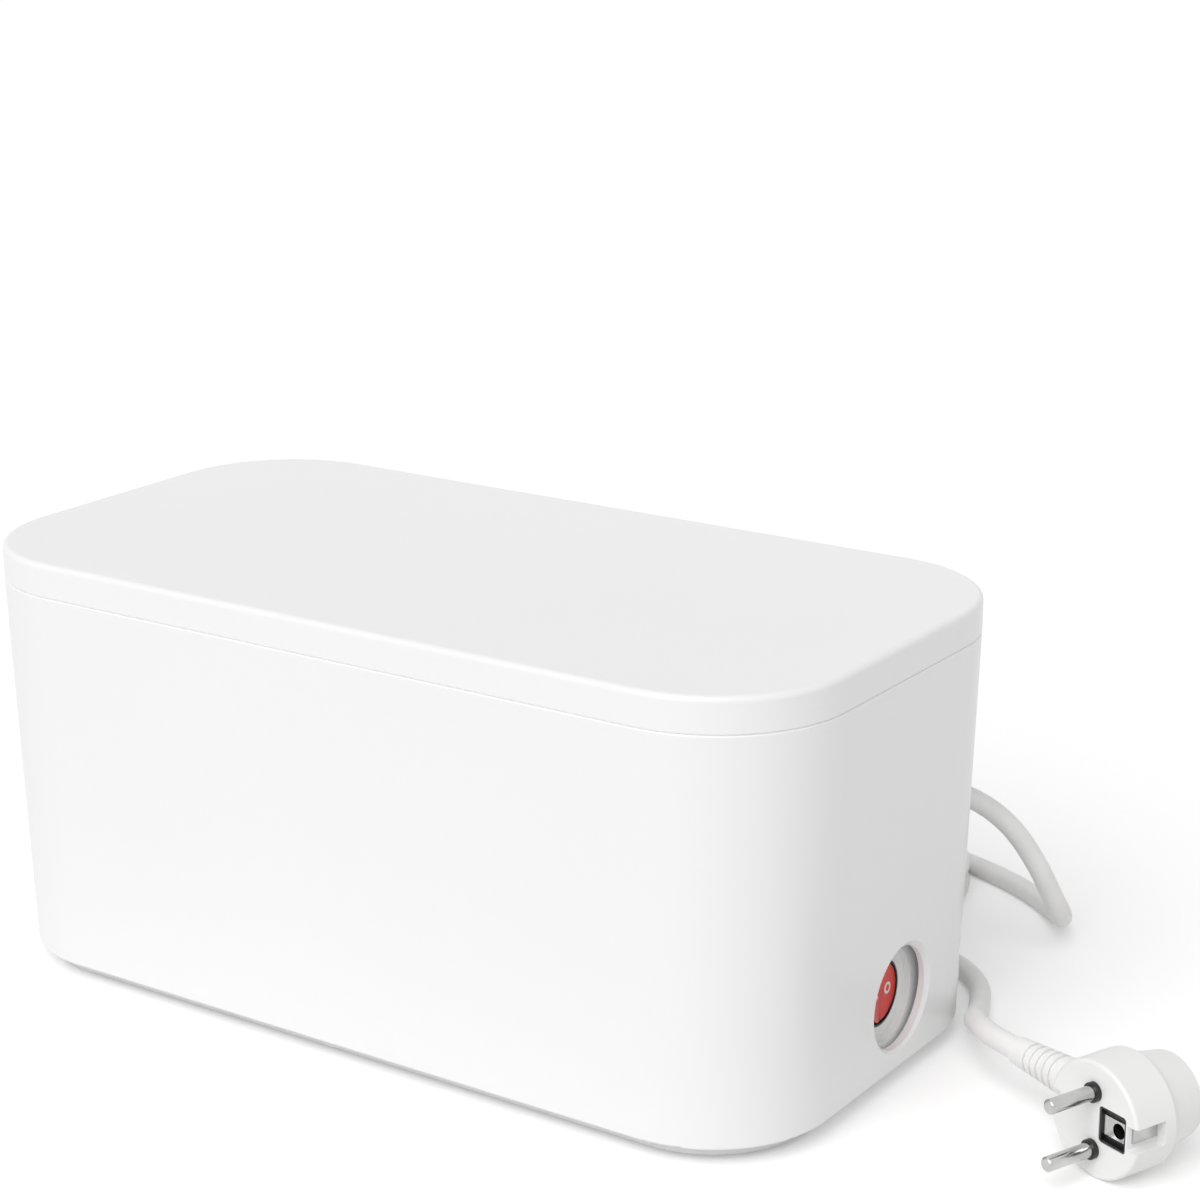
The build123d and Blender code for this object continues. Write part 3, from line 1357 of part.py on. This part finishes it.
# ---------------------------------------------------------------- one file per piece
pieces = {
    "box_shell": box_shell, "base_plate": base_plate, "base_screws": base_screws, "rubber_feet": rubber_feet,
    "lid_cover": lid_cover, "lid_frame": lid_frame, "strip_cover": strip_cover, "strip_base": strip_base,
    "socket_wells": socket_wells, "pass_tube": pass_tube, "cover_bosses": cover_bosses,
    "base_posts": base_posts, "strip_screws": strip_screws, "earth_bar": earth_bar,
    "earth_clips": earth_clips, "live_bar": live_bar, "neutral_bar": neutral_bar,
    "pin_contacts": pin_contacts, "contact_carrier": contact_carrier,
    "shutter_springs": shutter_springs, "usb_board": usb_board, "usb_a_shells": usb_a_shells,
    "usb_a_tongues": usb_a_tongues, "usb_c_shell": usb_c_shell, "usb_transformer": usb_transformer,
    "usb_capacitors": usb_capacitors, "switch_body": switch_body, "switch_rocker": switch_rocker,
    "switch_terminals": switch_terminals, "lead_bushing": lead_bushing, "lead_inner_end": lead_inner_end,
    "cord_clamp": cord_clamp, "clamp_screws": clamp_screws, "lead_coil": lead_coil, "coil_tie": coil_tie,
    "plug_body": plug_body, "plug_pins": plug_pins, "plug_pin_collars": plug_pin_collars,
    "plug_earth_clips": plug_earth_clips, "plug_boot": plug_boot,
    "plug_earth_insert": plug_earth_insert, "plug_earth_plate": plug_earth_plate,
}
pieces.update(wires)
pieces.update(leads)
pieces.update({f"shutter_{number}": shutter for number, shutter in enumerate(shutters, 1)})
for name, piece in pieces.items():
    piece.part.label = name
    export_step(piece.part, f"parts/{name}.step")
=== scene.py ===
from math import cos, radians, sin

import bpy
from mathutils import Matrix, Vector


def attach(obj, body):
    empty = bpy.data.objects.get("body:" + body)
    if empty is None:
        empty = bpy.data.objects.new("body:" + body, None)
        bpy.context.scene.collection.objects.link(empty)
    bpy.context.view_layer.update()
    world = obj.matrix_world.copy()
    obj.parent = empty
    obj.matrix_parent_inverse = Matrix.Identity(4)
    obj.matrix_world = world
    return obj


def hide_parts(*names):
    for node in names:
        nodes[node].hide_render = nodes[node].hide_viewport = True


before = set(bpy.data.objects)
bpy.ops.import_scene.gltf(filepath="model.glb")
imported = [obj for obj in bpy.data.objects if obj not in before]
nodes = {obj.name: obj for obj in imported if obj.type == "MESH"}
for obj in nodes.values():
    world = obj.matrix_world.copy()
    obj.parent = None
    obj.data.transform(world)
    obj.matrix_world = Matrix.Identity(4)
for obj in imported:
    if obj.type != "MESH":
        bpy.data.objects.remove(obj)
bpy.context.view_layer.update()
scene = bpy.context.scene

# ---------------------------------------------------------------- camera
CAMERA_PLACE = Vector((0.56367, -0.75362, 0.42150))
CAMERA_RIGHT = Vector((0.82690, 0.56235, -0.00284))
CAMERA_BACK = Vector((0.53939, -0.79169, 0.28684))
CAMERA_LENS = 86.83
CAMERA_SENSOR = 36.0
CAMERA_NEAR, CAMERA_FAR = 0.05, 50.0

camera_back = CAMERA_BACK.normalized()
camera_up = camera_back.cross(CAMERA_RIGHT).normalized()
camera_right = camera_up.cross(camera_back).normalized()
camera_data = bpy.data.cameras.new("camera")
camera_data.lens = CAMERA_LENS
camera_data.sensor_width = CAMERA_SENSOR
camera_data.sensor_fit = "HORIZONTAL"
camera_data.clip_start = CAMERA_NEAR
camera_data.clip_end = CAMERA_FAR
camera_data.dof.use_dof = False
camera = bpy.data.objects.new("camera", camera_data)
scene.collection.objects.link(camera)
turn = Matrix((camera_right, camera_up, camera_back)).transposed().to_4x4()
camera.matrix_world = Matrix.Translation(CAMERA_PLACE) @ turn
scene.camera = camera


# ---------------------------------------------------------------- node helpers
def new_material(name):
    """A material with an empty node tree, its Principled shader and a texture coordinate node."""
    material = bpy.data.materials.new(name)
    material.use_nodes = True
    tree = material.node_tree
    tree.nodes.clear()
    output = tree.nodes.new("ShaderNodeOutputMaterial")
    shader = tree.nodes.new("ShaderNodeBsdfPrincipled")
    tree.links.new(shader.outputs["BSDF"], output.inputs["Surface"])
    place = tree.nodes.new("ShaderNodeTexCoord").outputs["Object"]
    return material, tree, shader, place


def stretched(tree, vector, scale):
    """The coordinates scaled by a different factor on each axis."""
    mapping = tree.nodes.new("ShaderNodeMapping")
    mapping.inputs["Scale"].default_value = scale
    tree.links.new(vector, mapping.inputs["Vector"])
    return mapping.outputs["Vector"]


def noise(tree, vector, scale, detail=2.0, roughness=0.5):
    node = tree.nodes.new("ShaderNodeTexNoise")
    node.inputs["Scale"].default_value = scale
    node.inputs["Detail"].default_value = detail
    node.inputs["Roughness"].default_value = roughness
    tree.links.new(vector, node.inputs["Vector"])
    return node.outputs["Fac"]


def math_node(tree, operation, *values):
    """A Math node whose inputs are sockets or plain numbers."""
    node = tree.nodes.new("ShaderNodeMath")
    node.operation = operation
    for socket, value in zip(node.inputs, values):
        if isinstance(value, (int, float)):
            socket.default_value = value
        else:
            tree.links.new(value, socket)
    return node.outputs[0]


def spread(tree, value, low, high, from_low=0.3, from_high=0.7):
    """The value's middle range mapped to low..high."""
    node = tree.nodes.new("ShaderNodeMapRange")
    node.inputs["From Min"].default_value = from_low
    node.inputs["From Max"].default_value = from_high
    node.inputs["To Min"].default_value = low
    node.inputs["To Max"].default_value = high
    tree.links.new(value, node.inputs["Value"])
    return node.outputs["Result"]


def mixed(tree, factor, first, second):
    """A colour mix; first and second are sockets or colours."""
    node = tree.nodes.new("ShaderNodeMix")
    node.data_type = "RGBA"
    tree.links.new(factor, node.inputs["Factor"])
    for socket, value in zip((node.inputs[6], node.inputs[7]), (first, second)):
        if isinstance(value, tuple):
            socket.default_value = (*value, 1.0)
        else:
            tree.links.new(value, socket)
    return node.outputs[2]


def bump(tree, shader, height, strength, distance):
    node = tree.nodes.new("ShaderNodeBump")
    node.inputs["Strength"].default_value = strength
    node.inputs["Distance"].default_value = distance
    tree.links.new(height, node.inputs["Height"])
    tree.links.new(node.outputs["Normal"], shader.inputs["Normal"])


def shaded(color, factor):
    return tuple(min(1.0, channel * factor) for channel in color)


# ---------------------------------------------------------------- materials
# Noise scales are in features per metre, bump distances in metres, and colours are linear.
CLOUD_SCALE = 9.0
CLOUD_BUMP_SHARE = 2.5
HANDLED_SCALE = 42.0
FILM_SCALE = 120.0
DUST_SCALE = 90.0
SLEEVE_SKIN_SCALE = 900.0
PILE_SCALE = 1400.0
STRIPE_SCALE = 90.0
STRIPE_FROM = 0.55
LANE_SCALE = 160.0
LANE_WIDTH = 0.06
MOULDED_GRAIN = 0.0001
PLASTIC_IOR = 1.5
COAT_ROUGHNESS = 0.12
# Ranges for spread.
FULL = (0.0, 1.0)
WIDE_RANGE = (0.2, 0.8)

WHITE = (0.90, 0.90, 0.90)
SATIN_WHITE = (0.84, 0.84, 0.835)
PLUG_WHITE = (0.88, 0.88, 0.87)
LEAD_WHITE = (0.90, 0.90, 0.89)
SHUTTER_WHITE = (0.76, 0.76, 0.75)
GREY = (0.36, 0.36, 0.36)
RUBBER_GREY = (0.28, 0.28, 0.28)
BLACK = (0.012, 0.012, 0.013)
TAPE_YELLOW = (0.66, 0.46, 0.05)
LIVE_BROWN = (0.09, 0.03, 0.012)
NEUTRAL_BLUE = (0.01, 0.05, 0.32)
EARTH_GREEN, EARTH_YELLOW = (0.04, 0.30, 0.05), (0.80, 0.62, 0.04)
ROCKER_RED, ROCKER_DEEP_RED = (0.74, 0.018, 0.010), (0.66, 0.015, 0.009)
MARK_WHITE = (0.88, 0.86, 0.84)
# Pile colours: painted shade in the hollows, and the plain pile colour on the tips.
PILE_SHADED_BLACK, PILE_TIP = (0.035, 0.035, 0.038), (0.09, 0.09, 0.095)
LACQUER, DEEP_LACQUER = (0.02, 0.16, 0.06, 1.0), (0.02, 0.13, 0.05, 1.0)
LANE_GREEN = (0.05, 0.26, 0.10, 1.0)
GOLD = (0.92, 0.66, 0.17)
NICKEL = (0.60, 0.60, 0.59)
ZINC = (0.55, 0.55, 0.56)
STEEL = (0.48, 0.48, 0.50)


def plastic(name, color, rough, grain=0.00004, grain_scale=1800.0, coat=0.0, tint=0.985):
    """Moulded plastic: a faint cloudiness of colour, uneven gloss and a fine skin texture."""
    material, tree, shader, place = new_material(name)
    cloud = noise(tree, place, CLOUD_SCALE, detail=1.0)
    base = mixed(tree, spread(tree, cloud, *FULL, *WIDE_RANGE), color, shaded(color, tint))
    tree.links.new(base, shader.inputs["Base Color"])
    handled = noise(tree, place, HANDLED_SCALE, detail=4.0, roughness=0.6)
    gloss = spread(tree, handled, rough * 0.94, rough * 1.12, *WIDE_RANGE)
    tree.links.new(gloss, shader.inputs["Roughness"])
    skin = noise(tree, place, grain_scale)
    height = math_node(tree, "ADD", skin, math_node(tree, "MULTIPLY", cloud, CLOUD_BUMP_SHARE))
    bump(tree, shader, height, strength=0.35, distance=grain)
    shader.inputs["IOR"].default_value = PLASTIC_IOR
    shader.inputs["Coat Weight"].default_value = coat
    shader.inputs["Coat Roughness"].default_value = COAT_ROUGHNESS
    return material


def metal(name, color, rough, brushed=(1.0, 1.0, 60.0), scale=300.0, tarnish=0.8):
    """Stamped or turned metal: fine drawn lines, patches of dull film."""
    material, tree, shader, place = new_material(name)
    film = noise(tree, place, FILM_SCALE, detail=4.0, roughness=0.6)
    base = mixed(tree, spread(tree, film, *FULL), color, shaded(color, tarnish))
    tree.links.new(base, shader.inputs["Base Color"])
    lines = noise(tree, stretched(tree, place, brushed), scale, detail=3.0, roughness=0.6)
    tree.links.new(spread(tree, lines, rough * 0.93, rough * 1.3), shader.inputs["Roughness"])
    bump(tree, shader, lines, strength=0.25, distance=0.00005)
    shader.inputs["Metallic"].default_value = 1.0
    return material


def soft_sleeve(name, color, rough=0.42):
    """Extruded PVC or rubber: slightly waxy, with faint draw marks and dust."""
    material, tree, shader, place = new_material(name)
    dust = noise(tree, place, DUST_SCALE, detail=5.0, roughness=0.65)
    base = mixed(tree, spread(tree, dust, *FULL), color, shaded(color, 0.94))
    tree.links.new(base, shader.inputs["Base Color"])
    tree.links.new(spread(tree, dust, rough * 0.85, rough * 1.25), shader.inputs["Roughness"])
    skin = noise(tree, place, SLEEVE_SKIN_SCALE, detail=3.0, roughness=0.6)
    bump(tree, shader, skin, strength=0.4, distance=0.00006)
    shader.inputs["IOR"].default_value = PLASTIC_IOR
    shader.inputs["Subsurface Weight"].default_value = 0.05
    shader.inputs["Subsurface Scale"].default_value = 0.002
    return material


def in_band(tree, value, middle, half):
    """1 where value is within half of middle, else 0."""
    away = math_node(tree, "ABSOLUTE", math_node(tree, "SUBTRACT", value, middle))
    return math_node(tree, "LESS_THAN", away, half)


# Marks on the rocker, in metres: a dash on the front half and a ring on the rear half.
DASH_Y = 0.0043
RING_Y = 0.0140
MARK_Z = 0.0305
DASH_HALF_LENGTH = 0.0017
DASH_HALF_WIDTH = 0.00045
RING_RADIUS = 0.0016
RING_HALF_WIDTH = 0.00042
FACE_X = 0.1515


def rocker_red():
    """Polished red with the two printed marks on its outer face."""
    material, tree, shader, place = new_material("rocker_red")
    axes = tree.nodes.new("ShaderNodeSeparateXYZ")
    tree.links.new(place, axes.inputs["Vector"])
    x, y, z = axes.outputs
    dash = math_node(
        tree, "MULTIPLY",
        in_band(tree, y, DASH_Y, DASH_HALF_LENGTH),
        in_band(tree, z, MARK_Z, DASH_HALF_WIDTH),
    )
    beside = math_node(tree, "SUBTRACT", y, RING_Y)
    above = math_node(tree, "SUBTRACT", z, MARK_Z)
    square = math_node(
        tree, "ADD",
        math_node(tree, "MULTIPLY", beside, beside),
        math_node(tree, "MULTIPLY", above, above),
    )
    ring = in_band(tree, math_node(tree, "SQRT", square), RING_RADIUS, RING_HALF_WIDTH)
    face = math_node(tree, "GREATER_THAN", x, FACE_X)
    mark = math_node(tree, "MULTIPLY", math_node(tree, "MAXIMUM", dash, ring), face)
    cloud = noise(tree, place, scale=60.0, detail=3.0)
    red = mixed(tree, spread(tree, cloud, *FULL), ROCKER_RED, ROCKER_DEEP_RED)
    tree.links.new(mixed(tree, mark, red, MARK_WHITE), shader.inputs["Base Color"])
    tree.links.new(spread(tree, cloud, low=0.19, high=0.25), shader.inputs["Roughness"])
    skin = noise(tree, place, scale=1500.0)
    bump(tree, shader, skin, strength=0.25, distance=0.00003)
    shader.inputs["IOR"].default_value = PLASTIC_IOR
    return material


def circuit_board():
    """Green lacquer over copper lanes."""
    material, tree, shader, place = new_material("circuit_board")
    lanes = tree.nodes.new("ShaderNodeTexBrick")
    lanes.inputs["Scale"].default_value = LANE_SCALE
    lanes.inputs["Mortar Size"].default_value = LANE_WIDTH
    lanes.inputs["Color1"].default_value = LACQUER
    lanes.inputs["Color2"].default_value = DEEP_LACQUER
    lanes.inputs["Mortar"].default_value = LANE_GREEN
    tree.links.new(place, lanes.inputs["Vector"])
    tree.links.new(lanes.outputs["Color"], shader.inputs["Base Color"])
    gloss = spread(tree, noise(tree, place, scale=400.0), low=0.3, high=0.42)
    tree.links.new(gloss, shader.inputs["Roughness"])
    bump(tree, shader, lanes.outputs["Fac"], strength=0.3, distance=0.00003)
    return material


def striped_wire():
    """Green insulation with a yellow stripe that winds round it."""
    material, tree, shader, place = new_material("earth_insulation")
    wave = tree.nodes.new("ShaderNodeTexWave")
    wave.inputs["Scale"].default_value = STRIPE_SCALE
    wave.bands_direction = "DIAGONAL"
    tree.links.new(place, wave.inputs["Vector"])
    stripe = math_node(tree, "GREATER_THAN", wave.outputs["Fac"], STRIPE_FROM)
    base = mixed(tree, stripe, EARTH_GREEN, EARTH_YELLOW)
    tree.links.new(base, shader.inputs["Base Color"])
    gloss = spread(tree, noise(tree, place, scale=300.0), low=0.35, high=0.5)
    tree.links.new(gloss, shader.inputs["Roughness"])
    skin = noise(tree, place, SLEEVE_SKIN_SCALE)
    bump(tree, shader, skin, strength=0.3, distance=0.00005)
    return material


def tie_fabric():
    """Hook-and-loop strap: short looped pile in rows, painted darker in its hollows as painted
    shade.
    """
    material, tree, shader, place = new_material("tie_fabric")
    pile = tree.nodes.new("ShaderNodeTexVoronoi")
    pile.inputs["Scale"].default_value = PILE_SCALE
    tree.links.new(place, pile.inputs["Vector"])
    # Painted shade: the pile's colour follows its bump height, darker in the hollows and lighter
    # on the tips.
    hollow_shade = spread(tree, pile.outputs["Distance"], *FULL, from_low=0.0, from_high=0.7)
    tree.links.new(mixed(tree, hollow_shade, PILE_SHADED_BLACK, PILE_TIP), shader.inputs["Base Color"])
    shader.inputs["Roughness"].default_value = 0.85
    shader.inputs["Sheen Weight"].default_value = 0.3
    bump(tree, shader, pile.outputs["Distance"], strength=0.8, distance=0.0003)
    return material


white_gloss = plastic("white_gloss", WHITE, 0.31, coat=0.12)
white_lid = plastic("white_lid", WHITE, 0.30, coat=0.15)
white_satin = plastic("white_satin", SATIN_WHITE, 0.42, grain=MOULDED_GRAIN, grain_scale=1100.0)
plug_white = plastic("plug_white", PLUG_WHITE, 0.34, grain=MOULDED_GRAIN, grain_scale=1400.0)
grey_plastic = plastic("grey_plastic", GREY, 0.4)
shutter_white = plastic("shutter_white", SHUTTER_WHITE, 0.38)
black_plastic = plastic("black_plastic", BLACK, 0.33, grain=MOULDED_GRAIN)
yellow_tape = plastic("yellow_tape", TAPE_YELLOW, 0.4)
foot_rubber = soft_sleeve("foot_rubber", RUBBER_GREY, 0.7)
lead_pvc = soft_sleeve("lead_pvc", LEAD_WHITE)
live_insulation = soft_sleeve("live_insulation", LIVE_BROWN)
neutral_insulation = soft_sleeve("neutral_insulation", NEUTRAL_BLUE)
gold_brass = metal("gold_brass", GOLD, 0.27, tarnish=0.88)
nickel = metal("nickel", NICKEL, 0.13)
screw_steel = metal("screw_steel", ZINC, 0.34, brushed=(1.0, 1.0, 1.0), scale=900.0)
spring_steel = metal("spring_steel", STEEL, 0.3)

materials = {
    white_gloss: ("box_shell", "strip_cover", "socket_wells", "pass_tube"),
    white_lid: ("lid_cover",),
    white_satin: (
        "base_plate", "strip_base", "base_posts", "cover_bosses", "contact_carrier", "lid_frame",
    ),
    plug_white: ("plug_body",),
    grey_plastic: ("cord_clamp",),
    shutter_white: ("shutter_1", "shutter_2", "shutter_3", "shutter_4"),
    black_plastic: (
        "switch_body", "usb_a_tongues", "usb_capacitors", "plug_pin_collars", "plug_earth_insert",
    ),
    yellow_tape: ("usb_transformer",),
    foot_rubber: ("rubber_feet",),
    lead_pvc: ("plug_boot", "lead_bushing", "lead_inner_end"),
    live_insulation: ("live_wire",),
    neutral_insulation: ("neutral_wire",),
    gold_brass: (
        "earth_clips", "earth_bar", "live_bar", "neutral_bar", "pin_contacts", "switch_terminals",
    ),
    nickel: ("plug_pins", "plug_earth_clips", "plug_earth_plate", "usb_a_shells", "usb_c_shell"),
    screw_steel: ("base_screws", "strip_screws", "clamp_screws"),
    spring_steel: ("shutter_springs",),
    rocker_red(): ("switch_rocker",),
    circuit_board(): ("usb_board",),
    striped_wire(): ("earth_wire",),
    tie_fabric(): ("coil_tie",),
}
for material, names in materials.items():
    for name in names:
        nodes[name].data.materials.clear()
        nodes[name].data.materials.append(material)

# ---------------------------------------------------------------- mains lead
# The route's points repeat those of the solids, in millimetres.
LEAD_ROUTE = (
    (70.12, 23.87, 45.0), (76.3, 35.5, 45.0), (83.0, 47.6, 47.2), (91.6, 58.0, 52.3),
    (101.0, 66.4, 59.1), (109.3, 75.6, 65.9), (115.2, 89.0, 68.8), (125.0, 100.8, 67.7),
    (136.8, 109.6, 62.0), (147.3, 115.3, 52.4), (154.9, 119.8, 39.0), (157.9, 126.7, 25.3),
    (157.2, 137.6, 13.9), (151.4, 150.7, 6.3), (141.2, 162.8, 3.9), (127.4, 172.8, 3.75),
    (110.8, 180.9, 3.75), (92.4, 187.0, 3.75), (73.4, 190.9, 4.0),
)
TAIL_ROUTE = (
    (66.0, 98.8, 12.0), (81.0, 98.6, 10.6), (96.6, 99.8, 6.4), (112.0, 101.2, 3.8),
    (127.4, 100.6, 3.75), (141.4, 95.2, 3.75), (152.6, 83.9, 3.75), (159.2, 69.8, 4.2),
    (165.2, 56.6, 7.8), (170.2, 43.6, 12.8), (177.0, 31.9, 17.3), (186.8, 22.5, 19.0),
    (199.3, 17.5, 19.0),
)
LEAD_RADIUS = 0.00375
COIL_CENTRE = (60.0, 145.0)
OUTER_TURN, INNER_TURN = 46.3, 39.1
LOWER_LAYER, UPPER_LAYER = 4.6, 12.0
COIL_STEP = 15
COIL_FROM, COIL_TO = 90, 1350
# Breakpoints (degrees wound, turn radius, height).
# The outer turn moves in, climbs a layer and moves out again.
COIL_PLAN = (
    (COIL_FROM, OUTER_TURN, LOWER_LAYER), (405, OUTER_TURN, LOWER_LAYER),
    (450, INNER_TURN, LOWER_LAYER), (720, INNER_TURN, LOWER_LAYER),
    (765, INNER_TURN, UPPER_LAYER), (990, INNER_TURN, UPPER_LAYER),
    (1110, OUTER_TURN, UPPER_LAYER), (COIL_TO, OUTER_TURN, UPPER_LAYER),
)
# The spline cuts the corners of its control points, so they stand outside the turns.
POLYGON_SHRINK = cos(radians(COIL_STEP / 2)) ** 2
MM_PER_M = 1000
SPLINE_ORDER = 3
SPLINE_STEPS = 8
ROUND_STEPS = 6


def coil_point(angle):
    """A control point of the coil at that angle wound."""
    for (a0, r0, z0), (a1, r1, z1) in zip(COIL_PLAN, COIL_PLAN[1:]):
        if angle <= a1:
            share = (angle - a0) / (a1 - a0)
            ease = share * share * (3 - 2 * share)
            radius = (r0 + (r1 - r0) * ease) / POLYGON_SHRINK
            height = z0 + (z1 - z0) * ease
            break
    return (
        COIL_CENTRE[0] + radius * cos(radians(angle)),
        COIL_CENTRE[1] + radius * sin(radians(angle)),
        height,
    )


wound = range(COIL_FROM + COIL_STEP // 2, COIL_TO, COIL_STEP)
turns = [coil_point(angle) for angle in wound]
route = [Vector(p) / MM_PER_M for p in (*LEAD_ROUTE, *turns, *TAIL_ROUTE)]
lead_curve = bpy.data.curves.new("mains_flex", "CURVE")
lead_curve.dimensions = "3D"
spline = lead_curve.splines.new("NURBS")
spline.points.add(len(route) - 1)
for point, place in zip(spline.points, route):
    point.co = (*place, 1.0)
spline.order_u = SPLINE_ORDER
spline.use_endpoint_u = True
spline.resolution_u = SPLINE_STEPS
lead_curve.bevel_depth = LEAD_RADIUS
lead_curve.bevel_resolution = ROUND_STEPS
lead_curve.use_fill_caps = True
lead = bpy.data.objects.new("mains_flex", lead_curve)
scene.collection.objects.link(lead)
lead_curve.materials.append(lead_pvc)
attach(lead, "root")
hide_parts("mains_lead", "lead_coil", "mains_lead_tail")

# ---------------------------------------------------------------- shading of the CAD meshes
SHARP_ANGLE = 32.0
for node in nodes.values():
    node.data.shade_smooth()
    node.data.set_sharp_from_angle(angle=radians(SHARP_ANGLE))

# ---------------------------------------------------------------- floor, world and lights
# The backdrop and the floor look brighter to the camera than the light that they give.
LIGHT_PATH_KINDS = ("Is Camera Ray", "Is Glossy Ray", "Is Transmission Ray")
PURE_WHITE = (1.0, 1.0, 1.0, 1.0)
AMBIENT = 0.47
SUN_FROM = (0.12, -1.0, 1.06)
SUN_STRENGTH = 1.82
SUN_SOFTNESS = 50.0


def seen_directly(tree):
    """1 for camera, glossy and transmission rays, else 0."""
    rays = tree.nodes.new("ShaderNodeLightPath")
    total = rays.outputs[LIGHT_PATH_KINDS[0]]
    for kind in LIGHT_PATH_KINDS[1:]:
        total = math_node(tree, "MAXIMUM", total, rays.outputs[kind])
    return total


FLOOR_HALF = 6.0
FLOOR_COLOR = (0.88, 0.88, 0.88, 1.0)
FLOOR_GLOW = 0.24
corners = [(x * FLOOR_HALF, y * FLOOR_HALF, 0) for x, y in ((-1, -1), (1, -1), (1, 1), (-1, 1))]
floor_mesh = bpy.data.meshes.new("floor")
floor_mesh.from_pydata(corners, [], [(0, 1, 2, 3)])
floor = bpy.data.objects.new("floor", floor_mesh)
scene.collection.objects.link(floor)
floor_material = bpy.data.materials.new("floor")
floor_material.use_nodes = True
tree = floor_material.node_tree
tree.nodes.clear()
output = tree.nodes.new("ShaderNodeOutputMaterial")
matt = tree.nodes.new("ShaderNodeBsdfDiffuse")
matt.inputs["Color"].default_value = FLOOR_COLOR
glow = tree.nodes.new("ShaderNodeEmission")
glow.inputs["Color"].default_value = PURE_WHITE
glow_strength = math_node(tree, "MULTIPLY", seen_directly(tree), FLOOR_GLOW)
tree.links.new(glow_strength, glow.inputs["Strength"])
both = tree.nodes.new("ShaderNodeAddShader")
tree.links.new(matt.outputs[0], both.inputs[0])
tree.links.new(glow.outputs[0], both.inputs[1])
tree.links.new(both.outputs[0], output.inputs["Surface"])
floor_mesh.materials.append(floor_material)

world = bpy.data.worlds.new("world")
scene.world = world
world.use_nodes = True
tree = world.node_tree
tree.nodes.clear()
output = tree.nodes.new("ShaderNodeOutputWorld")
background = tree.nodes.new("ShaderNodeBackground")
background.inputs["Color"].default_value = PURE_WHITE
above_ambient = math_node(tree, "MULTIPLY", seen_directly(tree), 1.0 - AMBIENT)
strength = math_node(tree, "ADD", above_ambient, AMBIENT)
tree.links.new(strength, background.inputs["Strength"])
tree.links.new(background.outputs[0], output.inputs["Surface"])

sun_data = bpy.data.lights.new("key", "SUN")
sun_data.energy = SUN_STRENGTH
sun_data.angle = radians(SUN_SOFTNESS)
sun = bpy.data.objects.new("key", sun_data)
scene.collection.objects.link(sun)
sun.rotation_euler = (-Vector(SUN_FROM)).to_track_quat("-Z", "Y").to_euler()

scene.view_settings.view_transform = "Standard"
